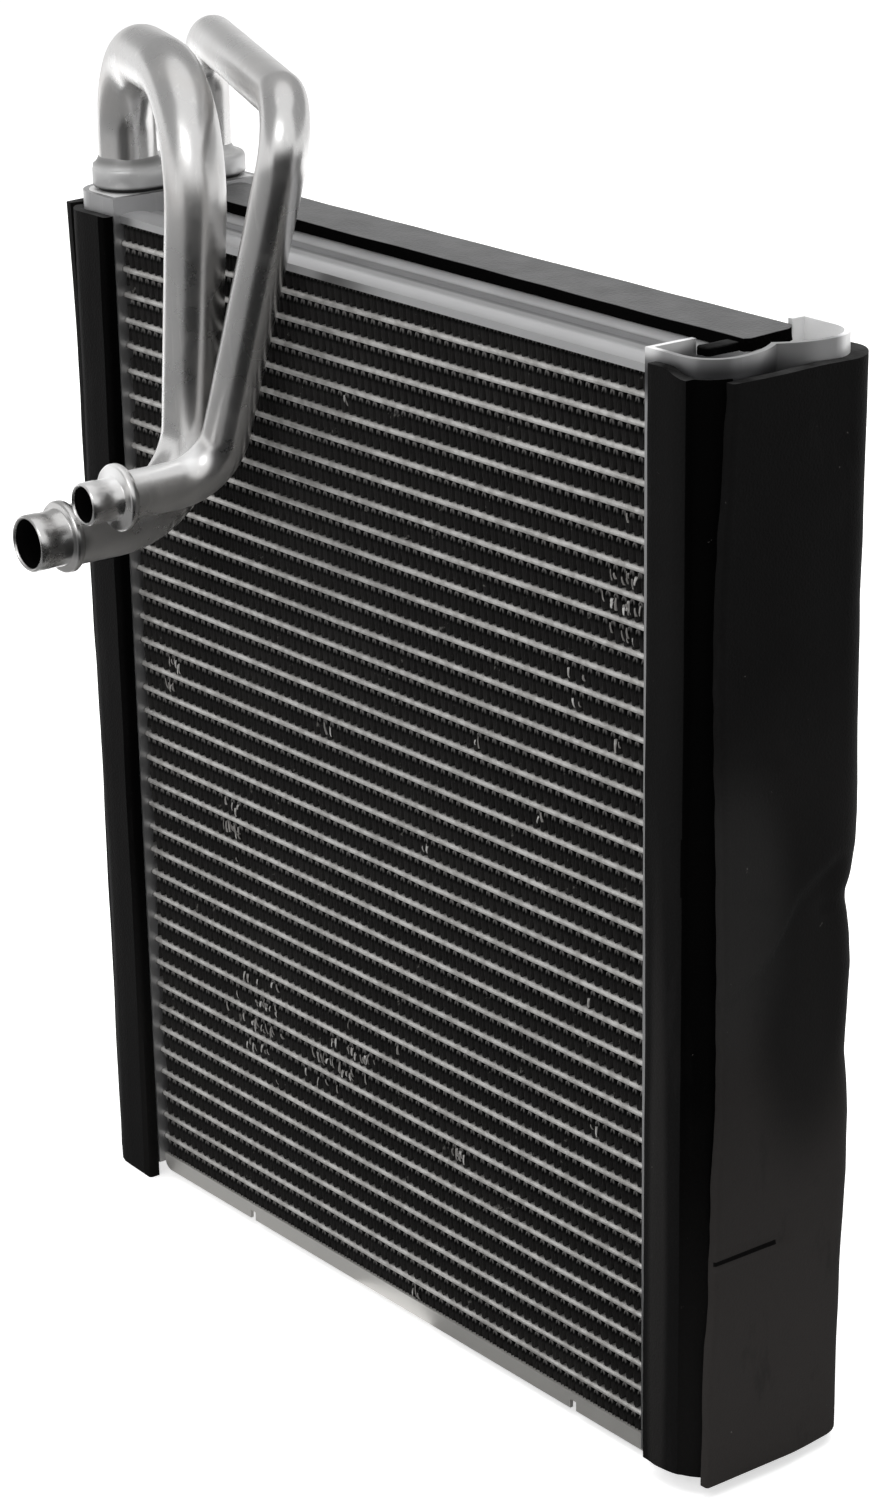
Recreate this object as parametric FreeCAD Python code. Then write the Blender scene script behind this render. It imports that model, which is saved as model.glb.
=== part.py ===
import FreeCAD, Part
import math
import os

# Evaporator core of a car air conditioner: flat tubes and folded fins between
# two upright tanks, two bent pipes on the left tank and foam pads round the outside.
# Millimetres. X runs along the flat tubes, Y from the front face to the back, Z up.
# The origin is the middle of the seat face under the bottom side plate.

# Finned core
core_width = 222.0
core_depth = 45.0
row_count = 40
tube_pitch = 7.0
tube_thickness = 1.6
tube_nose_length = 0.6
tube_nose_height = 0.7
group_tube_count = 13
group_row_count = 10
fin_sheet = 0.3
fin_folds = 24
fin_setback = 1.2
fin_end_gap = 0.8
braze_gap = 0.02

# Header plates and the two-lobed tank shells behind them
header_thickness = 1.5
header_overhang = 2.0
slot_clearance = 0.1
tube_reach = 1.0
tank_reach = 22.0
tank_notch_reach = 17.5
tank_corner_radius = 10.0
tank_wall = 1.5
rim_rise = 5.3
tank_foot = 1.0
cap_thickness = 2.0
cap_clearance = 0.1
right_cap_recess = 14.0
divider_thickness = 1.5
window_count = 5
window_height = 30.0
window_margin = 2.3

# Side plates that close the fin stack above and below
plate_sheet = 1.0
rib_height = 1.0
rib_crown = 0.6
front_rib_width = 8.8
groove_width = 5.4
groove_slope = 0.6
top_lip_drop = 0.6
bottom_lip_rise = 0.8
bottom_lip_drop = 2.0
lip_end_radius = 3.0
lip_notch_width = 2.4
lip_notch_height = 2.6
lip_notch_places = (45.5, 192.0)

# Port block on the left tank
port_inset = 11.0
front_port_inset = 10.6
rear_port_inset = 8.0
block_radius = 10.0
block_height = 6.7
block_chamfer = 1.2
braze_cone_height = 1.8
braze_cone_width = 1.5
braze_cone_rim = 0.2
port_floor = 2.0
port_clearance = 0.1

# Suction pipe, from the front port. Places are measured from the left header
# plate's inner face and the core's front face, heights from the top fin level.
suction_radius = 8.0
suction_wall = 1.6
suction_run_height = 44.3
suction_leg_top = (61.0, -14.0)
suction_leg_foot = (49.0, -13.5)
suction_foot_height = -68.0
suction_mouth_back = -64.5
suction_bends = (24.0, 30.0, 24.0)
suction_spigot_radius = 7.5
suction_bead_radius = 9.5

# Liquid pipe, from the rear port, measured the same way
liquid_radius = 6.3
liquid_wall = 1.7
liquid_run_height = 44.5
liquid_leg_top = (101.2, -12.8)
liquid_leg_foot = (65.2, -15.4)
liquid_foot_height = -55.4
liquid_mouth_back = -57.2
liquid_bends = (16.0, 13.0, 14.0)
liquid_spigot_radius = 5.6
liquid_bead_radius = 8.75

# Both pipes: flats round the bore, and the beaded ends
bore_sides = 8
spigot_length = 11.0
bead_width = 3.0
bead_crown = 1.2
spigot_chamfer = 0.5

# Foam pads
foam_thickness = 3.0
corner_foam_end = 2.0
rear_foam_radius = 9.5
front_foam_edge_left = 0.5
front_foam_edge_right = 3.8
seam_back_left = 0.0
seam_back_right = 2.3
seam_gap = 0.3
rear_foam_edge = 1.0
side_foam_rise = 0.8
left_foam_rise = 0.5
right_foam_rise = 2.6
left_foam_foot = 5.4
right_side_foam_foot = 2.2
right_front_foam_foot = 0.8
strip_front = 22.5
strip_back = 41.0
strip_thickness = 3.2
strip_start = 0.5
strip_overhang = 7.0
strip_skew = 2.2
strip_corner_cut = 2.4
strip_clearance = 0.8
tab_front = 12.9
tab_start = 0.3
tab_drop = 1.0

# Levels, worked out from the sizes above
tube_count = row_count - 1
fin_height = tube_pitch - tube_thickness
base_level = plate_sheet + rib_height - tube_thickness / 2
top_level = base_level + row_count * tube_pitch
rim_level = top_level + rim_rise
tank_base = base_level - tank_foot
plate_groove_rise = plate_sheet - tube_thickness / 2
plate_rib_rise = plate_groove_rise + rib_height

# Plan of a tank: out is measured from the header plate's inner face,
# back from the core's front face
tank_front = -header_overhang
tank_back = core_depth + header_overhang
corner_out = tank_reach - tank_corner_radius
corner_back = tank_front + tank_corner_radius
lobe_half_gap = core_depth / 2 - corner_back
lobe_notch = tank_reach - tank_notch_reach
lobe_radius = (lobe_notch ** 2 + lobe_half_gap ** 2) / (2 * lobe_notch)
RIGHT = 1
LEFT = -1


def spot(across, back, height):
    """Point measured from the left header plate, the core's front and the top level."""
    return FreeCAD.Vector(across - core_width / 2, back - core_depth / 2, top_level + height)


def plan(side, out, back, level):
    """Point beside one tank, at a level of the part's own frame."""
    return FreeCAD.Vector(side * (core_width / 2 + out), back - core_depth / 2, level)


def across_section(across, back, level):
    """Point of a section that is swept along the tubes."""
    return FreeCAD.Vector(across, back - core_depth / 2, level)


def arc(start, middle, end):
    return Part.Arc(start, middle, end).toShape()


def flat_face(edges):
    return Part.Face(Part.Wire(edges))


def polygon_face(points):
    return Part.Face(Part.makePolygon(points + points[:1]))


def raise_solid(face, height):
    return face.extrude(FreeCAD.Vector(0, 0, height))


def sweep_across(face, length):
    return face.extrude(FreeCAD.Vector(length, 0, 0))


def fuse(pieces):
    return pieces[0].multiFuse(pieces[1:]).removeSplitter()


def level_of(tube):
    """Middle of a tube, counted down from the top."""
    return top_level - tube * tube_pitch


def tube_section(across, level, clearance=0.0):
    """Flat section with bevelled noses at the front and the back."""
    nose = tube_nose_height / 2 + clearance
    flat = tube_thickness / 2 + clearance
    front = -clearance
    back = core_depth + clearance
    corners = (
        (front, -nose),
        (front + tube_nose_length, -flat),
        (back - tube_nose_length, -flat),
        (back, -nose),
        (back, nose),
        (back - tube_nose_length, flat),
        (front + tube_nose_length, flat),
        (front, nose),
    )
    return polygon_face([across_section(across, at, level + rise) for at, rise in corners])


def flat_tube(tube):
    reach = core_width / 2 + header_thickness + tube_reach
    return sweep_across(tube_section(-reach, level_of(tube)), 2 * reach)


def fin_row(row):
    """One folded strip between two tubes, its crests brazed to both."""
    floor = level_of(row) + tube_thickness / 2 + braze_gap
    crest = fin_height - 2 * braze_gap - fin_sheet
    start = -core_width / 2 + fin_end_gap
    step = (core_width - 2 * fin_end_gap) / fin_folds
    folds = [(start + step * fold, floor + crest * (fold % 2)) for fold in range(fin_folds + 1)]
    under = [across_section(x, fin_setback, z) for x, z in folds]
    over = [across_section(x, fin_setback, z + fin_sheet) for x, z in reversed(folds)]
    return polygon_face(under + over).extrude(FreeCAD.Vector(0, core_depth - 2 * fin_setback, 0))


def header_plate(side):
    """Slotted plate that the tube ends pass through."""
    corners = ((0.0, tank_front), (header_thickness, tank_front),
               (header_thickness, tank_back), (0.0, tank_back))
    face = polygon_face([plan(side, out, back, tank_base) for out, back in corners])
    plate = raise_solid(face, rim_level - tank_base)
    through = header_thickness + 2 * slot_clearance
    start = side * (core_width / 2 + header_thickness / 2) - through / 2
    slots = [
        sweep_across(tube_section(start, level_of(tube), slot_clearance), through)
        for tube in range(1, tube_count + 1)
    ]
    if side == RIGHT:
        slots.append(strip_gap())
    return plate.cut(slots)


def strip_gap():
    """Step in the right header plate's upper edge, where the foam strip lies across it."""
    width = header_thickness + 2 * slot_clearance
    depth = strip_back - tab_front + 2 * strip_clearance
    corner = spot(core_width - slot_clearance, tab_front - strip_clearance, plate_rib_rise)
    return Part.makeBox(width, depth, rim_rise, corner)


def lobe_edges(side, start, inset, level):
    """Two-lobed outline of a tank, set in by a distance, from the front to the back."""
    corner = tank_corner_radius - inset
    lobe = lobe_radius - inset
    lobe_out = tank_reach - lobe_radius
    diagonal = corner / math.sqrt(2)
    sweep = math.asin(lobe_half_gap / lobe)
    half = [
        (start, tank_front + inset),
        (corner_out, tank_front + inset),
        (corner_out + diagonal, corner_back - diagonal),
        (tank_reach - inset, corner_back),
        (lobe_out + lobe * math.cos(sweep / 2), corner_back + lobe * math.sin(sweep / 2)),
        (lobe_out + lobe * math.cos(sweep), core_depth / 2),
    ]
    front = [plan(side, out, back, level) for out, back in half]
    rear = [plan(side, out, core_depth - back, level) for out, back in half]
    return [
        Part.makeLine(front[0], front[1]),
        arc(front[1], front[2], front[3]),
        arc(front[3], front[4], front[5]),
        arc(rear[5], rear[4], rear[3]),
        arc(rear[3], rear[2], rear[1]),
        Part.makeLine(rear[1], rear[0]),
    ]


def first_point(edges):
    return edges[0].Vertexes[0].Point


def last_point(edges):
    return edges[-1].Vertexes[-1].Point


def tank_shell(side):
    """Open two-lobed wall, brazed to the back of the header plate."""
    outside = lobe_edges(side, header_thickness, 0.0, tank_base)
    inside = lobe_edges(side, header_thickness, tank_wall, tank_base)
    back_end = Part.makeLine(last_point(outside), last_point(inside))
    front_end = Part.makeLine(first_point(inside), first_point(outside))
    edges = outside + [back_end] + inside[::-1] + [front_end]
    return raise_solid(flat_face(edges), rim_level - tank_base)


def end_cap(side, level):
    """Plate that closes a tank, inside its shell."""
    edges = lobe_edges(side, header_thickness + cap_clearance, tank_wall + cap_clearance, level)
    closing = Part.makeLine(last_point(edges), first_point(edges))
    return raise_solid(flat_face(edges + [closing]), cap_thickness)


def left_top_cap():
    """Upper cap of the left tank, with a hole under each port."""
    cap = end_cap(LEFT, rim_level - cap_thickness)
    holes = [port_hole(place, bore, rim_level - cap_thickness, cap_thickness)
             for place, bore in port_bores()]
    return cap.cut(holes)


def divider_ends():
    """Where a divider starts and stops, measured out from the header plate."""
    lobe = lobe_radius - tank_wall
    notch = tank_reach - lobe_radius + math.sqrt(lobe ** 2 - lobe_half_gap ** 2)
    return header_thickness + tube_reach, notch


def divider(side, top):
    """Upright wall between a tank's two lobes, from the tube ends to the notch."""
    start, notch = divider_ends()
    corner = (start, (core_depth - divider_thickness) / 2)
    far = (notch, (core_depth + divider_thickness) / 2)
    bottom = tank_base + cap_thickness
    corners = (corner, (far[0], corner[1]), far, (corner[0], far[1]))
    face = polygon_face([plan(side, out, back, bottom) for out, back in corners])
    return raise_solid(face, top - bottom)


def right_divider(top):
    """Divider with windows, where the flow turns from the rear lobe to the front one."""
    wall = divider(RIGHT, top)
    bottom = tank_base + cap_thickness
    spacing = (top - bottom) / window_count
    start, notch = divider_ends()
    width = notch - start - 2 * window_margin
    windows = []
    for window in range(window_count):
        middle = bottom + spacing * (window + 0.5)
        corner = plan(RIGHT, start + window_margin,
                      (core_depth - divider_thickness) / 2, middle - window_height / 2)
        windows.append(Part.makeBox(width, divider_thickness, window_height, corner))
    return wall.cut(windows)


def side_plate_section(level, up):
    """Pressed sheet with a rounded rib along both edges and a raised flat between."""
    groove = plate_groove_rise
    crown = plate_rib_rise
    shoulder = crown - rib_crown
    middle = front_rib_width + groove_width
    outline = [
        (0.0, shoulder),
        (front_rib_width / 2, crown),
        (front_rib_width, shoulder),
        (front_rib_width + groove_slope, groove),
        (middle, groove),
        (middle + groove_slope, crown),
    ]

    def edges_at(shift):
        front = [across_section(-core_width / 2, back, level + up * (rise - shift))
                 for back, rise in outline]
        rear = [across_section(-core_width / 2, core_depth - back, level + up * (rise - shift))
                for back, rise in outline]
        return [
            arc(front[0], front[1], front[2]),
            Part.makeLine(front[2], front[3]),
            Part.makeLine(front[3], front[4]),
            Part.makeLine(front[4], front[5]),
            Part.makeLine(front[5], rear[5]),
            Part.makeLine(rear[5], rear[4]),
            Part.makeLine(rear[4], rear[3]),
            Part.makeLine(rear[3], rear[2]),
            arc(rear[2], rear[1], rear[0]),
        ]

    over = edges_at(0.0)
    under = edges_at(plate_sheet)
    rear_end = Part.makeLine(last_point(over), last_point(under))
    front_end = Part.makeLine(first_point(under), first_point(over))
    return flat_face(over + [rear_end] + under[::-1] + [front_end])


def top_side_plate():
    """Upper plate, with a short lip turned down over the fins' front."""
    plate = sweep_across(side_plate_section(top_level, 1), core_width)
    lip_bottom = -tube_thickness / 2 - top_lip_drop
    lip_height = plate_rib_rise - rib_crown - lip_bottom
    lip = Part.makeBox(core_width, plate_sheet, lip_height, spot(0.0, 0.0, lip_bottom))
    return fuse([plate, lip])


def bottom_side_plate():
    """Lower plate. Its lip stands below the seat, with a round end and two notches."""
    plate = sweep_across(side_plate_section(base_level, -1), core_width)
    lip_top = base_level + tube_thickness / 2 + bottom_lip_rise
    lip_bottom = -bottom_lip_drop
    left = -core_width / 2
    right = core_width / 2
    front = -core_depth / 2
    slant = lip_end_radius * (1 - 1 / math.sqrt(2))
    lip_edges = [
        Part.makeLine(FreeCAD.Vector(left, front, lip_top), FreeCAD.Vector(right, front, lip_top)),
        Part.makeLine(FreeCAD.Vector(right, front, lip_top), FreeCAD.Vector(right, front, lip_bottom)),
        Part.makeLine(FreeCAD.Vector(right, front, lip_bottom),
                      FreeCAD.Vector(left + lip_end_radius, front, lip_bottom)),
        arc(FreeCAD.Vector(left + lip_end_radius, front, lip_bottom),
            FreeCAD.Vector(left + slant, front, lip_bottom + slant),
            FreeCAD.Vector(left, front, lip_bottom + lip_end_radius)),
        Part.makeLine(FreeCAD.Vector(left, front, lip_bottom + lip_end_radius),
                      FreeCAD.Vector(left, front, lip_top)),
    ]
    lip = flat_face(lip_edges).extrude(FreeCAD.Vector(0, plate_sheet, 0))
    notches = [
        Part.makeBox(lip_notch_width, plate_sheet, lip_notch_height,
                     FreeCAD.Vector(left + place - lip_notch_width / 2, front, lip_bottom))
        for place in lip_notch_places
    ]
    return fuse([plate, lip.cut(notches)])


def port_places():
    """Front and rear port, as places measured across and back."""
    return (-port_inset, front_port_inset), (-port_inset, core_depth - rear_port_inset)


def port_bores():
    front, rear = port_places()
    return (front, suction_radius - suction_wall), (rear, liquid_radius - liquid_wall)


def port_hole(place, radius, bottom, height):
    centre = spot(place[0], place[1], bottom - top_level)
    return Part.makeCylinder(radius, height, centre)


def port_block():
    """Block on the left tank that both pipes are brazed into."""
    front, rear = port_places()
    base = rim_level - top_level
    corners = [
        spot(front[0] - block_radius, front[1], base),
        spot(front[0], front[1] - block_radius, base),
        spot(front[0] + block_radius, front[1], base),
        spot(rear[0] + block_radius, rear[1], base),
        spot(rear[0], rear[1] + block_radius, base),
        spot(rear[0] - block_radius, rear[1], base),
    ]
    outline = [
        arc(corners[0], corners[1], corners[2]),
        Part.makeLine(corners[2], corners[3]),
        arc(corners[3], corners[4], corners[5]),
        Part.makeLine(corners[5], corners[0]),
    ]
    block = raise_solid(flat_face(outline), block_height)
    top_edges = [edge for edge in block.Edges if edge.BoundBox.ZMin > rim_level + block_height / 2]
    block = block.makeChamfer(block_chamfer, top_edges)
    top = rim_level + block_height
    holes = []
    cones = []
    for place, pipe in ((front, suction_radius), (rear, liquid_radius)):
        seat = pipe + port_clearance
        centre = spot(place[0], place[1], top - top_level)
        cones.append(Part.makeCone(seat + braze_cone_width, seat + braze_cone_rim,
                                   braze_cone_height, centre))
        depth = block_height - port_floor + braze_cone_height
        holes.append(port_hole(place, seat, rim_level + port_floor, depth))
    for place, bore in port_bores():
        holes.append(port_hole(place, bore, rim_level, block_height))
    return fuse([block] + cones).cut(holes)


def ring_face(centre, direction, outer, bore):
    """Section of a pipe: round outside, with a bore of a few flats inside."""
    circle = Part.makeCircle(outer, centre, direction)
    inside = Part.makeCircle(bore, centre, direction)
    corners = inside.discretize(bore_sides + 1)
    wires = [Part.Wire(circle), Part.makePolygon(corners[:-1] + corners[:1])]
    return Part.makeFace(wires, "Part::FaceMakerBullseye")


def pipe_path(route, bends):
    """Straight runs joined by tangent bends."""
    edges = []
    start = route[0]
    for index, bend in enumerate(bends):
        corner = route[index + 1]
        onward = (route[index + 2] - corner).normalize()
        toward = (corner - start).normalize()
        turn = toward.getAngle(onward)
        setback = bend * math.tan(turn / 2)
        bend_start = corner - toward * setback
        bend_end = corner + onward * setback
        inward = (onward - toward).normalize()
        bend_middle = corner + inward * (bend / math.cos(turn / 2) - bend)
        edges.append(Part.makeLine(start, bend_start))
        edges.append(arc(bend_start, bend_middle, bend_end))
        start = bend_end
    edges.append(Part.makeLine(start, route[-1]))
    return Part.Wire(edges)


def bent_pipe(route, bends, outer, bore):
    """Hollow pipe along a path of runs and bends."""
    return pipe_path(route, bends).makePipe(ring_face(route[0], route[1] - route[0], outer, bore))


def beaded_end(start, outer, bore, bead, spigot):
    """Bead and plain spigot that turn a pipe's forward end into its fitting."""
    length = spigot_length + bead_width / 2

    def at(along, radius):
        return start + FreeCAD.Vector(0, -along, radius)

    crown = (bead_width - bead_crown) / 2
    corners = (
        (0, bore),
        (0, outer),
        (crown, bead),
        (bead_width - crown, bead),
        (bead_width, spigot),
        (length - spigot_chamfer, spigot),
        (length, spigot - spigot_chamfer),
        (length, bore),
    )
    section = polygon_face([at(along, radius) for along, radius in corners])
    return section.revolve(start, FreeCAD.Vector(0, 1, 0), 360)


def suction_pipe():
    """Larger pipe: up from the front port, over, down and forward to its fitting."""
    port = port_places()[0]
    bore = suction_radius - suction_wall
    fitting_start = suction_mouth_back + spigot_length + bead_width / 2
    route = [
        spot(port[0], port[1], rim_rise + port_floor),
        spot(port[0], port[1], suction_run_height),
        spot(suction_leg_top[0], suction_leg_top[1], suction_run_height),
        spot(suction_leg_foot[0], suction_leg_foot[1], suction_foot_height),
        spot(suction_leg_foot[0], fitting_start, suction_foot_height),
    ]
    pipe = bent_pipe(route, suction_bends, suction_radius, bore)
    end = beaded_end(route[-1], suction_radius, bore, suction_bead_radius, suction_spigot_radius)
    return fuse([pipe, end])


def liquid_pipe():
    """Smaller pipe: up from the rear port, across, then down and forward beside the other."""
    port = port_places()[1]
    bore = liquid_radius - liquid_wall
    fitting_start = liquid_mouth_back + spigot_length + bead_width / 2
    route = [
        spot(port[0], port[1], rim_rise + port_floor),
        spot(port[0], port[1], liquid_run_height),
        spot(liquid_leg_top[0], liquid_leg_top[1], liquid_run_height),
        spot(liquid_leg_foot[0], liquid_leg_foot[1], liquid_foot_height),
        spot(liquid_leg_foot[0], fitting_start, liquid_foot_height),
    ]
    pipe = bent_pipe(route, liquid_bends, liquid_radius, bore)
    end = beaded_end(route[-1], liquid_radius, bore, liquid_bead_radius, liquid_spigot_radius)
    return fuse([pipe, end])


def front_foam(side, edge, seam, foot, rise):
    """Pad on the front of a tank, wrapped part of the way round its corner."""
    face = tank_front
    skin = tank_front - foam_thickness
    wrap = math.acos((corner_back - seam) / tank_corner_radius)
    inner_end = corner_out + tank_corner_radius * math.sin(wrap)
    inner_middle = (corner_out + tank_corner_radius * math.sin(wrap / 2),
                    corner_back - tank_corner_radius * math.cos(wrap / 2))
    outer_end = inner_end + corner_foam_end
    run = outer_end - corner_out
    drop = seam - skin
    outer_radius = (run ** 2 + drop ** 2) / (2 * drop)
    outer_wrap = math.atan2(run, outer_radius - drop)
    outer_middle = (corner_out + outer_radius * math.sin(outer_wrap / 2),
                    skin + outer_radius * (1 - math.cos(outer_wrap / 2)))
    level = base_level - foot

    def at(place):
        return plan(side, place[0], place[1], level)

    edges = [
        Part.makeLine(at((edge, face)), at((edge, skin))),
        Part.makeLine(at((edge, skin)), at((corner_out, skin))),
        arc(at((corner_out, skin)), at(outer_middle), at((outer_end, seam))),
        Part.makeLine(at((outer_end, seam)), at((inner_end, seam))),
        arc(at((inner_end, seam)), at(inner_middle), at((corner_out, face))),
        Part.makeLine(at((corner_out, face)), at((edge, face))),
    ]
    return raise_solid(flat_face(edges), top_level + rise - level)


def side_foam(side, seam, foot):
    """Pad over the outside of a tank, wrapped round the rear corner to the back."""
    start = seam + seam_gap
    rear_centre = core_depth - corner_back
    outside = tank_reach + foam_thickness
    rear_skin = tank_back + foam_thickness
    rear_turn = rear_foam_radius * (1 - 1 / math.sqrt(2))
    slant = 1 / math.sqrt(2)
    level = base_level - foot

    def at(out, back):
        return plan(side, out, back, level)

    outer_start = at(outside, rear_skin - rear_foam_radius)
    outer_middle = at(outside - rear_turn, rear_skin - rear_turn)
    outer_end = at(outside - rear_foam_radius, rear_skin)
    inner_middle = at(corner_out + tank_corner_radius * slant, rear_centre + tank_corner_radius * slant)
    edges = [
        Part.makeLine(at(tank_reach, start), at(outside, start)),
        Part.makeLine(at(outside, start), outer_start),
        arc(outer_start, outer_middle, outer_end),
        Part.makeLine(outer_end, at(rear_foam_edge, rear_skin)),
        Part.makeLine(at(rear_foam_edge, rear_skin), at(rear_foam_edge, tank_back)),
        Part.makeLine(at(rear_foam_edge, tank_back), at(corner_out, tank_back)),
        arc(at(corner_out, tank_back), inner_middle, at(tank_reach, rear_centre)),
        Part.makeLine(at(tank_reach, rear_centre), at(tank_reach, start)),
    ]
    return raise_solid(flat_face(edges), top_level + side_foam_rise - level)


def top_foam_strip():
    """Strip along the top plate, with a lower tab that fills the step in the right header plate."""
    end = core_width + strip_overhang
    corners = (
        (strip_start, strip_front),
        (end - strip_corner_cut / 2, strip_front),
        (end, strip_front + strip_corner_cut / 2),
        (end - strip_skew, strip_back - strip_corner_cut),
        (end - strip_skew - strip_corner_cut, strip_back),
        (strip_start, strip_back),
    )
    face = polygon_face([spot(across, back, plate_rib_rise) for across, back in corners])
    strip = raise_solid(face, strip_thickness)
    tab_length = strip_overhang - strip_corner_cut - tab_start
    tab = Part.makeBox(tab_length, strip_front - tab_front, strip_thickness - tab_drop,
                       spot(core_width + tab_start, tab_front, plate_rib_rise))
    return fuse([strip, tab])


def group(solids):
    return Part.makeCompound(solids)


def tube_groups():
    """Flat tubes in three groups, from the top."""
    names = ("upper_flat_tubes", "middle_flat_tubes", "lower_flat_tubes")
    nodes = {}
    for index, name in enumerate(names):
        first = 1 + index * group_tube_count
        last = tube_count if name == names[-1] else first + group_tube_count - 1
        nodes[name] = group([flat_tube(tube) for tube in range(first, last + 1)])
    return nodes


def fin_groups():
    """Folded fin rows in four groups, from the top."""
    names = ("top_fin_rows", "upper_fin_rows", "lower_fin_rows", "bottom_fin_rows")
    nodes = {}
    for index, name in enumerate(names):
        first = 1 + index * group_row_count
        last = row_count if name == names[-1] else first + group_row_count - 1
        nodes[name] = group([fin_row(row) for row in range(first, last + 1)])
    return nodes


def tanks():
    right_cap_level = rim_level - right_cap_recess - cap_thickness
    left_cap_level = rim_level - cap_thickness
    return {
        "left_header_plate": header_plate(LEFT),
        "right_header_plate": header_plate(RIGHT),
        "left_tank_shell": tank_shell(LEFT),
        "right_tank_shell": tank_shell(RIGHT),
        "left_tank_divider": divider(LEFT, left_cap_level),
        "right_tank_divider": right_divider(right_cap_level),
        "left_top_end_cap": left_top_cap(),
        "left_bottom_end_cap": end_cap(LEFT, tank_base),
        "right_top_end_cap": end_cap(RIGHT, right_cap_level),
        "right_bottom_end_cap": end_cap(RIGHT, tank_base),
    }


def foam_pads():
    return {
        "left_front_foam": front_foam(LEFT, front_foam_edge_left, seam_back_left,
                                      left_foam_foot, left_foam_rise),
        "right_front_foam": front_foam(RIGHT, front_foam_edge_right, seam_back_right,
                                       right_front_foam_foot, right_foam_rise),
        "left_side_foam": side_foam(LEFT, seam_back_left, left_foam_foot),
        "right_side_foam": side_foam(RIGHT, seam_back_right, right_side_foam_foot),
        "top_foam_strip": top_foam_strip(),
    }


def all_nodes():
    nodes = {
        "top_side_plate": top_side_plate(),
        "bottom_side_plate": bottom_side_plate(),
        "port_block": port_block(),
        "suction_pipe": suction_pipe(),
        "liquid_pipe": liquid_pipe(),
    }
    for part_of in (tube_groups(), fin_groups(), tanks(), foam_pads()):
        nodes.update(part_of)
    return nodes


os.makedirs("parts", exist_ok=True)
for name, shape in all_nodes().items():
    shape.exportStep("parts/" + name + ".step")
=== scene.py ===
import math
import random

import bpy
import numpy as np
from mathutils import Matrix, Vector, noise


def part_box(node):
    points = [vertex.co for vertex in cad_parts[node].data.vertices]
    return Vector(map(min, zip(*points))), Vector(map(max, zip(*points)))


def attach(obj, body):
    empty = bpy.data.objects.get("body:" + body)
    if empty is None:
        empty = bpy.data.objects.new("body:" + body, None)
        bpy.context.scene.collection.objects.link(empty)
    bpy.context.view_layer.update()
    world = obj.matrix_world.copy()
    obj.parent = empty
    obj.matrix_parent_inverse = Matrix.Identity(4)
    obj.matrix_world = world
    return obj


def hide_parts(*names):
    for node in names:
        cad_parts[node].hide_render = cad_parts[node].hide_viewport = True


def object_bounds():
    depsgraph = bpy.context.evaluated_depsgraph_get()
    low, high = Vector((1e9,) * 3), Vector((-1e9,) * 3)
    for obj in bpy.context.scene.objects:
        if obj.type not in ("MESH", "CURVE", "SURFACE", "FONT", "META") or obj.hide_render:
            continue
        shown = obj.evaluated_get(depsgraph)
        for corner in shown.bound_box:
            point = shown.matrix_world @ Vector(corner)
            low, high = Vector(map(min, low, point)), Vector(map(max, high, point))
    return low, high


# Evaporator core of a car air conditioner, dressed for its portrait: folded fins between
# flat tubes, two tanks, two bent pipes and black foam pads. Metres, in the part's own frame.

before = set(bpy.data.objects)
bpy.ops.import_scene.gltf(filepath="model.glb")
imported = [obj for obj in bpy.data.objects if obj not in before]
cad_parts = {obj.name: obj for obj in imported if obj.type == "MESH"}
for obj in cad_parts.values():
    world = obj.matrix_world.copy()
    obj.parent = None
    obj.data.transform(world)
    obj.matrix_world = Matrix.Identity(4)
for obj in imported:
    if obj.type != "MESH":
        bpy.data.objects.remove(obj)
cad_box = [list(corner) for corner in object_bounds()]
body = "root"
mm = 0.001

# Camera, solved from the photograph
photo_size = (891, 1500)
camera_place = Vector((0.7873, -0.5952, 0.49925))
camera_azimuth = math.radians(52.627)
camera_height_angle = math.radians(22.891)
camera_roll = math.radians(-0.878)
camera_focus = 3937.3
camera_centre = (466.07, 998.26)
sensor_side = 36.0

# The core's own measures, taken from the frame
left_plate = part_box("left_header_plate")
right_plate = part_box("right_header_plate")
top_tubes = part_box("upper_flat_tubes")
core_left = left_plate[1].x
core_right = right_plate[0].x
core_front = top_tubes[0].y
core_back = top_tubes[1].y
core_depth = core_back - core_front
tube_end = top_tubes[1].x
tube_pitch = 7.0 * mm
tube_thickness = 1.6 * mm
top_level = top_tubes[1].z - tube_thickness / 2 + tube_pitch
row_count = 40
rim_level = left_plate[1].z
header_overhang = core_front - left_plate[0].y

# Folded fins
fin_pitch = 3.0 * mm
fin_sheet = 0.12 * mm
fin_setback = 0.5 * mm
fin_end_gap = 0.8 * mm
fin_nose = 1.5 * mm
fin_wave_points = 8
fin_squareness = 2.4
fin_wander = 0.12
fin_lean = 0.1 * mm
rows_per_group = 10

# Flat tubes
tubes_per_group = 13
tube_stations = 60
tube_wave = 0.07 * mm
tube_inset = 0.1 * mm
tube_ease = 3 * mm

# Tanks, measured out from the header plates' inner faces
tank_reach = 22.0 * mm
tank_corner_radius = 10.0 * mm
tank_front = -header_overhang
tank_back = core_depth + header_overhang
corner_out = tank_reach - tank_corner_radius
corner_back = tank_front + tank_corner_radius

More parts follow.
